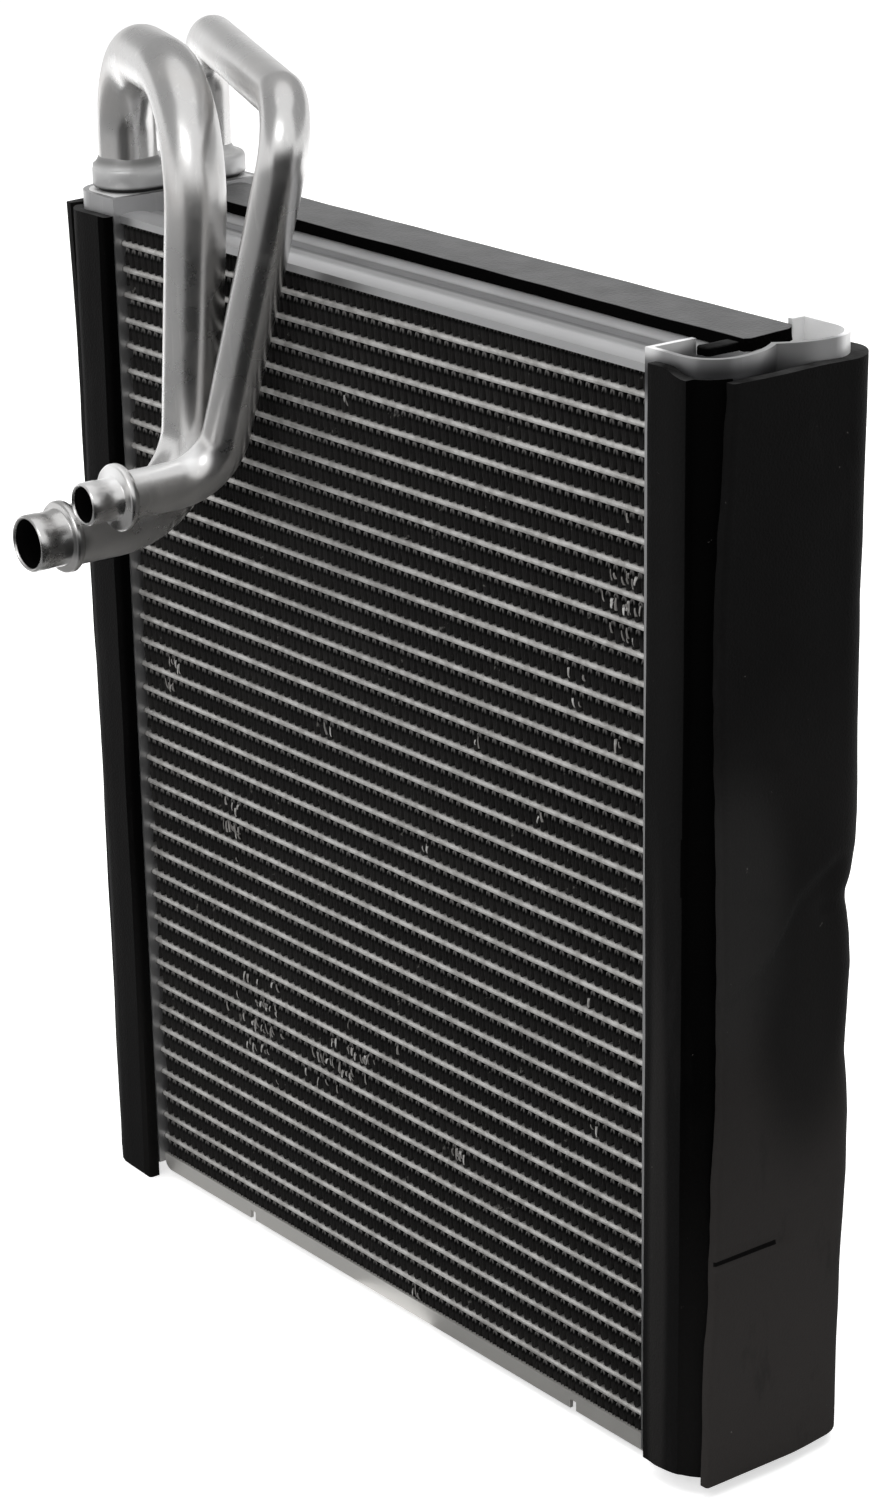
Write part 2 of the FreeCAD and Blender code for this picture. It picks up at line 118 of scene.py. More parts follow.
# Pipes: places in millimetres across from the left header plate, back from the core's front,
# and up from the top level
suction_radius = 8.0 * mm
suction_bore = 6.4 * mm
suction_route = ((-11.0, 10.6, 7.3), (-11.0, 10.6, 44.3), (61.0, -14.0, 44.3),
                 (49.0, -13.5, -68.0), (49.0, -52.0, -68.0))
suction_bends = (24.0, 30.0, 24.0)
suction_spigot = 7.5 * mm
suction_bead = 9.5 * mm
liquid_radius = 6.3 * mm
liquid_bore = 4.6 * mm
liquid_route = ((-11.0, 37.0, 7.3), (-11.0, 37.0, 44.5), (101.2, -12.8, 44.5),
                (65.2, -15.4, -55.4), (65.2, -44.7, -55.4))
liquid_bends = (16.0, 13.0, 14.0)
liquid_spigot = 5.6 * mm
liquid_bead = 8.75 * mm
spigot_length = 11.0 * mm
bead_width = 3.0 * mm
pipe_sides = 48
pipe_unevenness = 0.09 * mm
straight_step = 8 * mm
bend_step = math.radians(6)

# Port block
block_radius = 10.0 * mm
block_height = 6.7 * mm
braze_reach = 1.7 * mm

# Foam pads
foam_thickness = 3.0 * mm
pad_levels = 230
pad_step = 1.5 * mm
pad_gap = 0.05 * mm
ripple_length = 0.012
ripple = 0.12 * mm
valley_skin = 0.8 * mm
tail_skin = 0.35 * mm
rear_foam_radius = 9.5 * mm
right_seam = 2.3 * mm
strip_front = 22.5 * mm
strip_corner = 2.4 * mm
strip_skew = 2.2 * mm
strip_stations = 150
strip_points = 10
tab_front = 12.9 * mm
tab_start = 0.3 * mm
tab_end = 4.6 * mm
tab_drop = 1.0 * mm


def at_core(across, back, up):
    """Point measured in millimetres from the left header plate, the core's front and the top level."""
    return Vector((core_left + across * mm, core_front + back * mm, top_level + up * mm))


def by_right_tank(out, back, level):
    """Place measured in millimetres from the right header plate and the core's front, at a level."""
    return core_right + out * mm, core_front + back * mm, level


def camera_axes():
    a, e, r = camera_azimuth, camera_height_angle, camera_roll
    back = Vector((math.sin(a) * math.cos(e), -math.cos(a) * math.cos(e), math.sin(e)))
    right = Vector((math.cos(a), math.sin(a), 0))
    up = back.cross(right)
    return right * math.cos(r) + up * math.sin(r), up * math.cos(r) - right * math.sin(r), back


def on_core_front(px, py, depth):
    """Where a pixel of the photograph meets a plane just behind the core's front."""
    right, up, back = camera_axes()
    ray = right * ((px - camera_centre[0]) / camera_focus)
    ray = ray - up * ((py - camera_centre[1]) / camera_focus) - back
    reach = (core_front + depth - camera_place.y) / ray.y
    return camera_place + ray * reach


def arc_points(centre, radius, start, end, steps):
    """Points of an arc in a plane, angles in degrees."""
    angles = [math.radians(start + (end - start) * step / steps) for step in range(steps + 1)]
    return [(centre[0] + radius * math.cos(a), centre[1] + radius * math.sin(a)) for a in angles]


def turns(count):
    """Angles all the way round."""
    return [2 * math.pi * i / count for i in range(count)]


def wander(place, scale, seed, size):
    return size * noise.noise(Vector(place) / scale + Vector((seed * 7.31, seed * 3.17, seed * 1.93)))


def along_table(table, place):
    """Value between the rows of a (place, value) table, both in millimetres."""
    return float(np.interp(place / mm, [row[0] for row in table], [row[1] for row in table])) * mm


def smooth(low, high, value):
    share = min(1, max(0, (value - low) / (high - low)))
    return share * share * (3 - 2 * share)


# Mesh building

def make_piece(name, verts, faces, material, slot, sharp):
    mesh = bpy.data.meshes.new(name)
    mesh.from_pydata([tuple(v) for v in verts], [], faces)
    mesh.update()
    mesh.polygons.foreach_set("use_smooth", [True] * len(mesh.polygons))
    mesh.set_sharp_from_angle(angle=math.radians(sharp))
    mesh.materials.append(material)
    piece = bpy.data.objects.new(name, mesh)
    bpy.context.scene.collection.objects.link(piece)
    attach(piece, body)
    return piece


def joined(parts):
    """Several (verts, faces) as one."""
    verts, faces = [], []
    for part_verts, part_faces in parts:
        shift = len(verts)
        verts.extend(part_verts)
        faces.extend(tuple(i + shift for i in face) for face in part_faces)
    return verts, faces


def skin(rings, ends=True, around=True, along=False):
    """Quads over rings of equal length. The ends are closed with flat faces."""
    count = len(rings[0])
    verts = [point for ring in rings for point in ring]
    faces = []
    for row in range(len(rings) if along else len(rings) - 1):
        after = (row + 1) % len(rings)
        for i in range(count if around else count - 1):
            j = (i + 1) % count
            faces.append((row * count + i, row * count + j, after * count + j, after * count + i))
    if ends and not along:
        faces.append(tuple(reversed(range(count))))
        last = (len(rings) - 1) * count
        faces.append(tuple(last + i for i in range(count)))
    return verts, faces


# Shader nodes

def put(tree, kind, sockets=None, **settings):
    """A node with its settings, its inputs set or wired by name."""
    made = tree.nodes.new("ShaderNode" + kind)
    for key, value in settings.items():
        setattr(made, key, value)
    for key, value in (sockets or {}).items():
        if isinstance(value, bpy.types.NodeSocket):
            tree.links.new(value, made.inputs[key])
        else:
            made.inputs[key].default_value = value
    return made


def math_node(tree, operation, first, second=0.0, clamp=False):
    return put(tree, "Math", {0: first, 1: second}, operation=operation, use_clamp=clamp).outputs[0]


def times(tree, first, second):
    return math_node(tree, "MULTIPLY", first, second)


def plus(tree, first, second):
    return math_node(tree, "ADD", first, second)


def minus(tree, first, second):
    return math_node(tree, "SUBTRACT", first, second)


def object_place(tree):
    return put(tree, "TexCoord").outputs["Object"]


def cloud(tree, place, size, detail, rough=0.5):
    sockets = {"Vector": place, "Scale": size, "Detail": detail, "Roughness": rough}
    return put(tree, "TexNoise", sockets).outputs["Fac"]


def ramp(tree, value, low, high, kind="LINEAR"):
    """From 0 at the low value to 1 at the high one."""
    sockets = {"Value": value, "From Min": low, "From Max": high}
    return put(tree, "MapRange", sockets, interpolation_type=kind).outputs[0]


def blend_value(tree, factor, below, above):
    return put(tree, "Mix", {0: factor, 2: below, 3: above}).outputs[0]


def blend_colour(tree, factor, below, above):
    below, above = (value if isinstance(value, bpy.types.NodeSocket) else (*value, 1.0)
                    for value in (below, above))
    return put(tree, "Mix", {0: factor, 6: below, 7: above}, data_type="RGBA").outputs[2]


def laid_over(tree, base, mask, amount, colour):
    """A colour laid over the base by a mask."""
    return blend_colour(tree, times(tree, mask, amount), base, colour)


def bare_tree(holder, output):
    """The nodes of a material or world with only its output, and the socket that takes the surface."""
    holder.use_nodes = True
    tree = holder.node_tree
    tree.nodes.clear()
    return tree, tree.nodes.new("ShaderNode" + output).inputs["Surface"]


# Shader groups

def vector_node(tree, operation, first, second=(0, 0, 0)):
    return put(tree, "VectorMath", {0: first, 1: second}, operation=operation).outputs


def make_group(name, inputs, build):
    """A group. Its inputs are given with their usual values, and build returns its outputs."""
    tree = bpy.data.node_groups.new(name, "ShaderNodeTree")
    for label, value in inputs.items():
        kind = "NodeSocketVector" if isinstance(value, tuple) else "NodeSocketFloat"
        tree.interface.new_socket(name=label, in_out="INPUT", socket_type=kind).default_value = value
    results = build(tree, tree.nodes.new("NodeGroupInput").outputs, object_place(tree))
    for label in results:
        tree.interface.new_socket(name=label, in_out="OUTPUT", socket_type="NodeSocketFloat")
    out = tree.nodes.new("NodeGroupOutput").inputs
    for label, value in results.items():
        tree.links.new(value, out[label])
    return tree


def grain_nodes(tree, given, place):
    """Small rough grain and a slow unevenness under it."""
    grain = cloud(tree, place, given["Grain Size"], 4.0, 0.65)
    slow = cloud(tree, place, given["Slow Size"], 3.0)
    return {"Height": blend_value(tree, given["Share"], slow, grain), "Slow": slow}


def blotch_nodes(tree, given, place):
    """Soft-edged blotches, such as brazing flux or old water marks."""
    bent = put(tree, "TexNoise", {"Vector": place, "Scale": 25.0, "Detail": 2.0}).outputs["Color"]
    moved = vector_node(tree, "MULTIPLY", bent, (0.02, 0.02, 0.02))[0]
    where = vector_node(tree, "ADD", place, moved)[0]
    low = minus(tree, given["Level"], given["Softness"])
    high = plus(tree, given["Level"], given["Softness"])
    return {"Mask": ramp(tree, cloud(tree, where, given["Size"], 6.0, 0.6), low, high, "SMOOTHSTEP")}


def line_nodes(tree, given, place):
    """Fine lines drawn out along one direction."""
    lines = cloud(tree, vector_node(tree, "MULTIPLY", place, given["Stretch"])[0], 1.0, 5.0, 0.7)
    return {"Mask": ramp(tree, lines, given["Level"], plus(tree, given["Level"], 0.08)), "Height": lines}


def worn_nodes(tree, given, place):
    """Mask along the edges of a dense mesh, broken up."""
    ridge = put(tree, "NewGeometry").outputs["Pointiness"]
    edge = ramp(tree, ridge, 0.5, plus(tree, 0.5, given["Reach"]))
    return {"Mask": times(tree, edge, ramp(tree, cloud(tree, place, given["Break"], 3.0), 0.38, 0.6))}


def dust_nodes(tree, given, place):
    """Dust that lies on what faces up."""
    facing = put(tree, "SeparateXYZ", {0: put(tree, "NewGeometry").outputs["Normal"]}).outputs["Z"]
    patch = ramp(tree, cloud(tree, place, given["Patch"], 5.0), 0.35, 0.7)
    lying = times(tree, ramp(tree, facing, 0.2, 0.95), patch)
    return {"Mask": times(tree, lying, given["Amount"])}


def spot_nodes(tree, given, place):
    """1 inside an oval about a spot, 0 outside, with a soft edge."""
    moved = vector_node(tree, "SUBTRACT", place, given["Centre"])[0]
    scaled = vector_node(tree, "DIVIDE", moved, given["Reach"])[0]
    return {"Mask": ramp(tree, vector_node(tree, "LENGTH", scaled)["Value"], 1.0, 0.45, "SMOOTHSTEP")}


fine_grain = make_group("fine_grain", {"Grain Size": 900.0, "Slow Size": 60.0, "Share": 0.5}, grain_nodes)
flux_blotches = make_group("flux_blotches", {"Size": 45.0, "Level": 0.5, "Softness": 0.1}, blotch_nodes)
drawn_lines = make_group("drawn_lines", {"Stretch": (40.0, 600.0, 600.0), "Level": 0.6}, line_nodes)
worn_edges = make_group("worn_edges", {"Reach": 0.06, "Break": 200.0}, worn_nodes)
settled_dust = make_group("settled_dust", {"Amount": 0.4, "Patch": 60.0}, dust_nodes)
near_spot = make_group("near_spot", {"Centre": (0, 0, 0), "Reach": (1, 1, 1)}, spot_nodes)


def use(tree, group, **values):
    """One of the shader groups, placed with its own values."""
    placed = tree.nodes.new("ShaderNodeGroup")
    placed.node_tree = group
    for key, value in values.items():
        placed.inputs[key.replace("_", " ")].default_value = value
    return placed.outputs


# Materials

def start_material(name, specular=0.5):
    material = bpy.data.materials.new(name)
    tree, surface = bare_tree(material, "OutputMaterial")
    shader = tree.nodes.new("ShaderNodeBsdfPrincipled")
    shader.inputs["Specular IOR Level"].default_value = specular
    tree.links.new(shader.outputs[0], surface)
    return material, tree, shader


def finish_skin(tree, shader, colour, rough, relief, depth, strength=1.0):
    bump = put(tree, "Bump", {"Height": relief, "Distance": depth, "Strength": strength}).outputs[0]
    for socket, value in (("Base Color", colour), ("Roughness", rough), ("Normal", bump)):
        tree.links.new(value, shader.inputs[socket])


def spot_mask(tree, centre, reach):
    return use(tree, near_spot, Centre=centre, Reach=[side * mm for side in reach])["Mask"]


def blotches(tree, size, level, softness):
    return use(tree, flux_blotches, Size=size, Level=level, Softness=softness)["Mask"]


def grey(level):
    return level, level, level


def metal(name, colour, stain, dark, roughness, lines, blotch_size=45.0, blotch_level=0.55, metallic=1.0,
          dust=0.0, bump=0.008 * mm, grain=900.0, mottle=0.45, streak=0.25, rub=0.0, spots=()):
    """Bare aluminium with flux blotches, drawn lines, rubbed edges and dust.

    spots are places of painted light and shade: centre, reach in millimetres, colour, how much
    colour, and how much of the shine goes.
    """
    edge = (0.9, 0.89, 0.87)
    material, tree, shader = start_material(name)
    grained = use(tree, fine_grain, Grain_Size=grain, Slow_Size=30.0, Share=0.5)
    blotch = blotches(tree, blotch_size, blotch_level, 0.16)
    soot = blotches(tree, blotch_size * 2.7, 0.64, 0.07)
    scratch = use(tree, drawn_lines, Stretch=lines, Level=0.58)
    rubbed = times(tree, use(tree, worn_edges, Reach=0.05, Break=300.0)["Mask"], rub)
    dusty = use(tree, settled_dust, Amount=dust, Patch=80.0)["Mask"]
    darker, paler = [c * 0.93 for c in colour], [min(1, c * 1.06) for c in colour]
    base = blend_colour(tree, grained["Slow"], darker, paler)
    base = laid_over(tree, base, blotch, mottle, stain)
    base = laid_over(tree, base, soot, mottle * 0.35, dark)
    base = laid_over(tree, base, scratch["Mask"], streak, edge)
    base = blend_colour(tree, rubbed, base, edge)
    base = blend_colour(tree, dusty, base, (0.62, 0.6, 0.56))
    shine = metallic
    for centre, reach, tint, amount, dulled in spots:
        near = spot_mask(tree, centre, reach)
        base = laid_over(tree, base, near, amount, tint)
        shine = times(tree, shine, minus(tree, 1.0, times(tree, near, dulled)))
    rough = blend_value(tree, blotch, roughness, min(0.9, roughness + 0.25 * mottle))
    rough = blend_value(tree, grained["Slow"], rough, plus(tree, rough, 0.06))
    rough = blend_value(tree, rubbed, rough, roughness * 0.7)
    shine = times(tree, minus(tree, 1.0, dusty), shine)
    shine = times(tree, shine, minus(tree, 1.0, times(tree, blotch, mottle * 0.5)))
    tree.links.new(shine, shader.inputs["Metallic"])
    relief = plus(tree, grained["Height"], times(tree, scratch["Height"], 0.8))
    finish_skin(tree, shader, base, rough, relief, bump, 0.7)
    return material


def fin_material():
    """Dark coated fin sheet with louvres across it, pale where the coating has gone.

    The fins' crests are paler along the core's faces, and the pockets between them, just under each tube,
    are painted black as shade.
    """
    crest_share = (0.32, 0.19)
    shaded_pocket_share = (0.46, 0.36)
    pale_edge = 0.45 * mm
    material, tree, shader = start_material("fin_coating", 0.2)
    place = object_place(tree)
    grained = use(tree, fine_grain, Grain_Size=1500.0, Slow_Size=35.0, Share=0.7)
    worn = blotches(tree, 260.0, 0.7, 0.04)
    dusty = blotches(tree, 18.0, 0.58, 0.1)
    apart = put(tree, "SeparateXYZ", {0: place}).outputs
    down = math_node(tree, "DIVIDE", minus(tree, top_level, apart["Z"]), tube_pitch)
    under = math_node(tree, "FRACT", down)
    face = core_depth / 2 - fin_setback
    edge = math_node(tree, "GREATER_THAN", math_node(tree, "ABSOLUTE", apart["Y"]), face - pale_edge)
    base = blend_colour(tree, grained["Slow"], (0.012, 0.0112, 0.011), (0.021, 0.0195, 0.019))
    base = laid_over(tree, base, dusty, 0.2, (0.05, 0.048, 0.045))
    # Painted shade: each fin row turns near black just under the tube above it
    base = blend_colour(tree, ramp(tree, under, *shaded_pocket_share), base, grey(0.001))
    base = laid_over(tree, base, worn, 0.5, (0.3, 0.29, 0.27))
    base = laid_over(tree, base, ramp(tree, under, *crest_share), times(tree, edge, 0.85),
                     (0.2, 0.193, 0.188))
    louvres = put(tree, "TexWave", {"Vector": place, "Scale": 160.0, "Distortion": 0.0},
                  wave_type="BANDS", bands_direction="Y").outputs["Fac"]
    relief = plus(tree, louvres, times(tree, grained["Height"], 0.3))
    finish_skin(tree, shader, base, blend_value(tree, worn, 0.6, 0.45), relief, 0.2 * mm, 0.6)
    return material


def bore_shade_material():
    """Inside of a pipe, painted near black as the shade where hardly any light comes back."""
    material, tree, shader = start_material("bore_painted_shade", 0.03)
    grained = use(tree, fine_grain, Grain_Size=1400.0, Slow_Size=120.0, Share=0.5)
    rings = use(tree, drawn_lines, Stretch=(60.0, 900.0, 60.0), Level=0.6)["Mask"]
    base = blend_colour(tree, grained["Slow"], grey(0.0015), (0.004, 0.0038, 0.0036))
    base = laid_over(tree, base, rings, 0.4, (0.012, 0.011, 0.01))
    rough = blend_value(tree, grained["Slow"], 0.85, 1.0)
    finish_skin(tree, shader, base, rough, grained["Height"], 0.05 * mm)
    return material


def foam_material(name, low, high, crumb, sheen, roughness=0.85, paler_below=None,
                  foot_colour=(0.034, 0.031, 0.0295), spots=()):
    """Closed-cell foam: a fine open grain, pressed smooth in places, with lint on it.

    Foam can be browner and paler towards its foot, from the level given down, a painted light from
    below. spots are places of painted light and shade: centre, reach in millimetres, colour and how much of
    it.
    """
    material, tree, shader = start_material(name, sheen)
    grained = use(tree, fine_grain, Grain_Size=crumb, Slow_Size=22.0, Share=0.75)
    place = object_place(tree)
    cells = put(tree, "TexVoronoi", {"Vector": place, "Scale": crumb * 0.9}).outputs["Distance"]
    streak = use(tree, drawn_lines, Stretch=(90.0, 90.0, 25.0), Level=0.58)["Mask"]
    lint = blotches(tree, 420.0, 0.74, 0.02)
    dusty = use(tree, settled_dust, Amount=0.25, Patch=120.0)["Mask"]
    base = blend_colour(tree, grained["Slow"], low, high)
    if paler_below is not None:
        height = put(tree, "SeparateXYZ", {0: place}).outputs["Z"]
        base = blend_colour(tree, ramp(tree, height, paler_below, 0.0, "SMOOTHSTEP"), base, foot_colour)
    for centre, reach, tint, amount in spots:
        base = laid_over(tree, base, spot_mask(tree, centre, reach), amount, tint)
    base = laid_over(tree, base, streak, 0.3, [c * 1.6 for c in high])
    base = laid_over(tree, base, lint, 0.5, (0.2, 0.19, 0.18))
    base = blend_colour(tree, dusty, base, grey(0.16))
    rough = blend_value(tree, grained["Slow"], roughness, roughness - 0.12)
    relief = plus(tree, cells, times(tree, grained["Height"], 0.8))
    finish_skin(tree, shader, base, rough, relief, 0.12 * mm, 0.7)
    return material


# Painted light and shade: centre, reach in millimetres, colour, how much colour, how much of the shine goes
far = 1000.0
# Right tank: painted highlight on the header's inner face by the rim, painted shadow in the recess under
# the strip, painted highlight inside the rear lobe
rim_painted_light = (
    (by_right_tank(1, 3, rim_level), (7, 11, 4), grey(0.98), 0.85, 0.7),
    (by_right_tank(16, 4, rim_level - 7 * mm), (34, 34, 8), (0.06, 0.06, 0.064), 0.92, 0.0),
    ((core_right + 12 * mm, core_back - 1 * mm, rim_level - 2 * mm), (20, 9, 16), grey(1.0), 0.95, 0.85),
)
# Painted highlight on the top plate's front rib, painted shade in its groove, a painted lighter flat behind
# it; last, a duller warmer tone over the bottom plate
plate_painted_light_and_tone = (
    ((0, core_front + 5 * mm, top_level), (far, 5.5, far), (0.72, 0.72, 0.73), 0.8, 0.1),
    ((0, core_front + 14 * mm, top_level), (far, 2.2, far), (0.2, 0.2, 0.21), 0.6, 0.0),
    ((0, core_front + 19.5 * mm, top_level), (far, 4.5, far), (0.8, 0.8, 0.81), 0.45, 0.22),
    ((0, core_front, 0), (far, far, 12), (0.62, 0.605, 0.57), 0.8, 0.4),
)
# Painted shade: a dark band at the port block's foot, and shade round the suction pipe's foot on its top
block_painted_shade = (
    ((core_left - 11 * mm, 0, rim_level), (far, far, 1.9), grey(0.03), 0.97, 0.0),
    ((core_left - 11 * mm, core_front + 10.6 * mm, rim_level + block_height + 1.2 * mm),
     (13, 13, 3.0), (0.06, 0.058, 0.055), 0.9, 0.2),
)
# Painted highlight along the top of the liquid pipe's lower run, and painted shade on the suction pipe's
# spigot
run_painted_light = (
    (at_core(64, -30, -49), (9, 40, 6), grey(0.98), 0.8, 0.6),
    (at_core(56, -57, -68), (9, 9, 5), grey(0.2), 0.75, 0.0),
)
tube_metal = metal("tube_metal", (0.42, 0.41, 0.395), (0.48, 0.465, 0.445), (0.25, 0.24, 0.225), 0.5,
                   (60.0, 900.0, 900.0), metallic=0.6, dust=0.15, bump=0.015 * mm, mottle=0.35, rub=0.5)
plate_metal = metal("plate_metal", (0.66, 0.66, 0.665), grey(0.7), (0.34, 0.33, 0.32), 0.3,
                    (6.0, 500.0, 500.0), metallic=0.95, mottle=0.1, streak=0.1, spots=plate_painted_light_and_tone)
tank_metal = metal("tank_metal", (0.5, 0.5, 0.505), grey(0.58), (0.36, 0.35, 0.35), 0.34,
                   (400.0, 400.0, 12.0), metallic=0.9, mottle=0.15, streak=0.08, spots=rim_painted_light)
cap_metal = metal("cap_metal", (0.78, 0.78, 0.775), grey(0.85), (0.5, 0.49, 0.48), 0.5,
                  (200.0, 200.0, 200.0), metallic=0.35, mottle=0.2)
block_metal = metal("block_metal", grey(0.6), grey(0.68), (0.45, 0.43, 0.41), 0.42,
                    (300.0, 300.0, 300.0), metallic=0.7, dust=0.15, bump=0.012 * mm, grain=1400.0,
                    mottle=0.3, spots=block_painted_shade)
pipe_metal = metal("pipe_metal", (0.68, 0.675, 0.67), (0.58, 0.54, 0.5), (0.34, 0.3, 0.26), 0.24,
                   (420.0, 420.0, 16.0), blotch_level=0.6, mottle=0.3, streak=0.3, spots=run_painted_light)
bent_metal = metal("bent_fin_metal", (0.24, 0.23, 0.22), (0.34, 0.325, 0.31), (0.1, 0.095, 0.09), 0.5,
                   (300.0, 300.0, 300.0), blotch_size=300.0, metallic=0.4, rub=0.5)
fin_coating = fin_material()
bore_painted_shade = bore_shade_material()

# Painted light and shade on the foam: centre, reach in millimetres, colour and how much of it
# Painted shade over the right side pad's rear above its fold, and a painted highlight on its bulge near the
# front
side_painted_light = (
    (by_right_tank(25, 30, 132 * mm), (34, 24, 62), (0.005, 0.0049, 0.0048), 0.7),
    (by_right_tank(25, 5, 150 * mm), (34, 22, 46), (0.026, 0.0255, 0.025), 0.45),
)
# Painted highlight along the ridge of the right front pad
ridge_painted_highlight = ((by_right_tank(9.5, -5, 50 * mm), (4.5, 30, 130), (0.022, 0.021, 0.0205), 0.7),)
smooth_black = ((0.0035, 0.0034, 0.0034), (0.007, 0.0067, 0.0067), 1600.0, 0.12)
foam_skin = foam_material("foam_skin", *smooth_black)
front_skin = foam_material("front_foam_skin", *smooth_black, spots=ridge_painted_highlight)
# Right side pad: paler towards its foot, painted light from the floor
side_skin = foam_material("side_foam_skin", (0.0028, 0.0027, 0.0027), (0.006, 0.0058, 0.0058), 1600.0, 0.1,
                          paler_below=230 * mm, spots=side_painted_light)
cut_foam = foam_material("cut_foam", (0.013, 0.012, 0.0115), (0.024, 0.022, 0.021), 1600.0, 0.2)
# Near-black foam of painted shade: in the right front pad's valley, along the left front pad's inner edge,
# in the side pad's crease and on the strip's sides; the shade weakens towards the foot
painted_shade_foam = foam_material("painted_shade_foam", grey(0.0006), (0.002, 0.0019, 0.0019), 1600.0, 0.02,
                             roughness=1.0, paler_below=120 * mm, foot_colour=(0.008, 0.0077, 0.0075))
# The strip's top: black foam painted paler, a painted sheen where its top is lit
strip_painted_sheen = foam_material("strip_foam_painted_sheen", (0.03, 0.03, 0.031), (0.045, 0.045, 0.046), 1300.0, 0.9,
                           roughness=0.45)


# Fins and flat tubes

def level_of(tube):
    return top_level - tube * tube_pitch


def fin_strip(row):
    """One folded strip as a sheet, from the left header plate to the right one."""
    dice = random.Random(4000 + row)
    start = core_left + fin_end_gap
    length = core_right - core_left - 2 * fin_end_gap
    waves = round(length / fin_pitch)
    phase = dice.random()
    half = (tube_pitch - tube_thickness) / 2 - fin_sheet / 2
    middle = level_of(row) + tube_pitch / 2
    front = core_front + fin_setback
    back = core_back - fin_setback
    count = waves * fin_wave_points + 1
    rings = []
    for index in range(count):
        turn = index / fin_wave_points + phase
        place = index / (count - 1)
        drift = wander((place * 14, row * 2.3, 0), 1.0, 3, fin_wander * fin_pitch)
        x = start + place * length + drift * min(1, 12 * place, 12 * (1 - place))
        swing = math.sin(2 * math.pi * turn)
        z = half * math.tanh(fin_squareness * swing) / math.tanh(fin_squareness)
        ring = []
        for step, y in enumerate((front, front + fin_nose, back - fin_nose, back)):
            edge = 1.0 if step in (0, 3) else 0.0
            lean = wander((x * 90, row, step), 1.0, 9, fin_lean) * (1 - abs(z / half) ** 3) * edge
            depth = y + edge * wander((x * 200, row, step), 1.0, 5, 0.1 * mm)
            ring.append(Vector((x + lean, depth, middle + z)))
        rings.append(ring)
    return skin(rings, ends=False, around=False)


def fin_group(name, rows, node):
    piece = make_piece(name, *joined([fin_strip(row) for row in rows]), fin_coating, "fin_aluminium", 60)
    sheet = piece.modifiers.new("sheet", "SOLIDIFY")
    sheet.thickness = fin_sheet
    sheet.offset = 0
    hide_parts(node)


def flat_tube(tube):
    """A flat tube with round noses, a little uneven along its run."""
    nose = tube_thickness / 2 - 0.02 * mm
    rings = []
    for station in range(tube_stations + 1):
        x = tube_end * (2 * station / tube_stations - 1)
        ease = min(1, max(0, (core_right - abs(x)) / tube_ease))
        level = level_of(tube) + wander((x * 55, tube * 1.7, 0), 1.0, 1, tube_wave) * ease
        push = wander((x * 80, tube * 2.1, 4), 1.0, 2, tube_wave * 1.4) * ease
        front = arc_points((core_front + nose + tube_inset - push, level), nose, 90, 270, 6)
        back = arc_points((core_back - nose - tube_inset + push, level), nose, -90, 90, 6)
        rings.append([Vector((x, y, z)) for y, z in front + back])
    return skin(rings)


def tube_group(name, tubes, node):
    piece = make_piece(name, *joined([flat_tube(tube) for tube in tubes]), tube_metal, "tube_aluminium", 50)
    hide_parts(node)


def share_out(index, count):
    """Numbers of one group's rows, counted from 1 at the top."""
    return range(1 + index * count, 1 + (index + 1) * count)


for index, place in enumerate(("top", "upper", "lower", "bottom")):
    fin_group("folded_fins_" + place, share_out(index, rows_per_group), place + "_fin_rows")
for index, place in enumerate(("upper", "middle", "lower")):
    tube_group("rounded_tubes_" + place, share_out(index, tubes_per_group), place + "_flat_tubes")


# Pipes

def bend_path(route, bends):
    """Points along straight runs joined by tangent bends."""
    route = [at_core(*place) for place in route]
    points = [route[0]]
    for index, bend in enumerate(bends):
        corner = route[index + 1]
        toward = (corner - route[index]).normalized()
        onward = (route[index + 2] - corner).normalized()
        turn = toward.angle(onward)
        radius = bend * mm
        start = corner - toward * radius * math.tan(turn / 2)
        centre_way = (onward - toward).normalized()
        centre = corner + centre_way * radius / math.cos(turn / 2)
        axis = toward.cross(onward).normalized()
        run = start - points[-1]
        pieces = max(2, round(run.length / straight_step))
        for step in range(1, pieces):
            points.append(points[-1] + run / pieces)
        steps = max(4, math.ceil(turn / bend_step))
        for step in range(steps + 1):
            points.append(centre + Matrix.Rotation(turn * step / steps, 3, axis) @ (start - centre))
    run = route[-1] - points[-1]
    for step in range(1, 4):
        points.append(points[-1] + run / 4)
    points.append(route[-1])
    return points


def pipe_ring(centre, side, other, radius_of):
    return [centre + (side * math.cos(angle) + other * math.sin(angle)) * radius_of(angle)
            for angle in turns(pipe_sides)]


def path_rings(points, radius_at):
    """Rings square to a path, carried along it without twist."""
    way = (points[1] - points[0]).normalized()
    side = Vector((1, 0, 0)) if abs(way.x) < 0.9 else Vector((0, 1, 0))
    side = (side - way * side.dot(way)).normalized()
    rings = []
    for index, point in enumerate(points):
        before = points[max(0, index - 1)]
        after = points[min(len(points) - 1, index + 1)]
        onward = (after - before).normalized()
        side = (side - onward * side.dot(onward)).normalized()
        rings.append(pipe_ring(point, side, onward.cross(side), lambda angle: radius_at(point, angle)))
    return rings, side


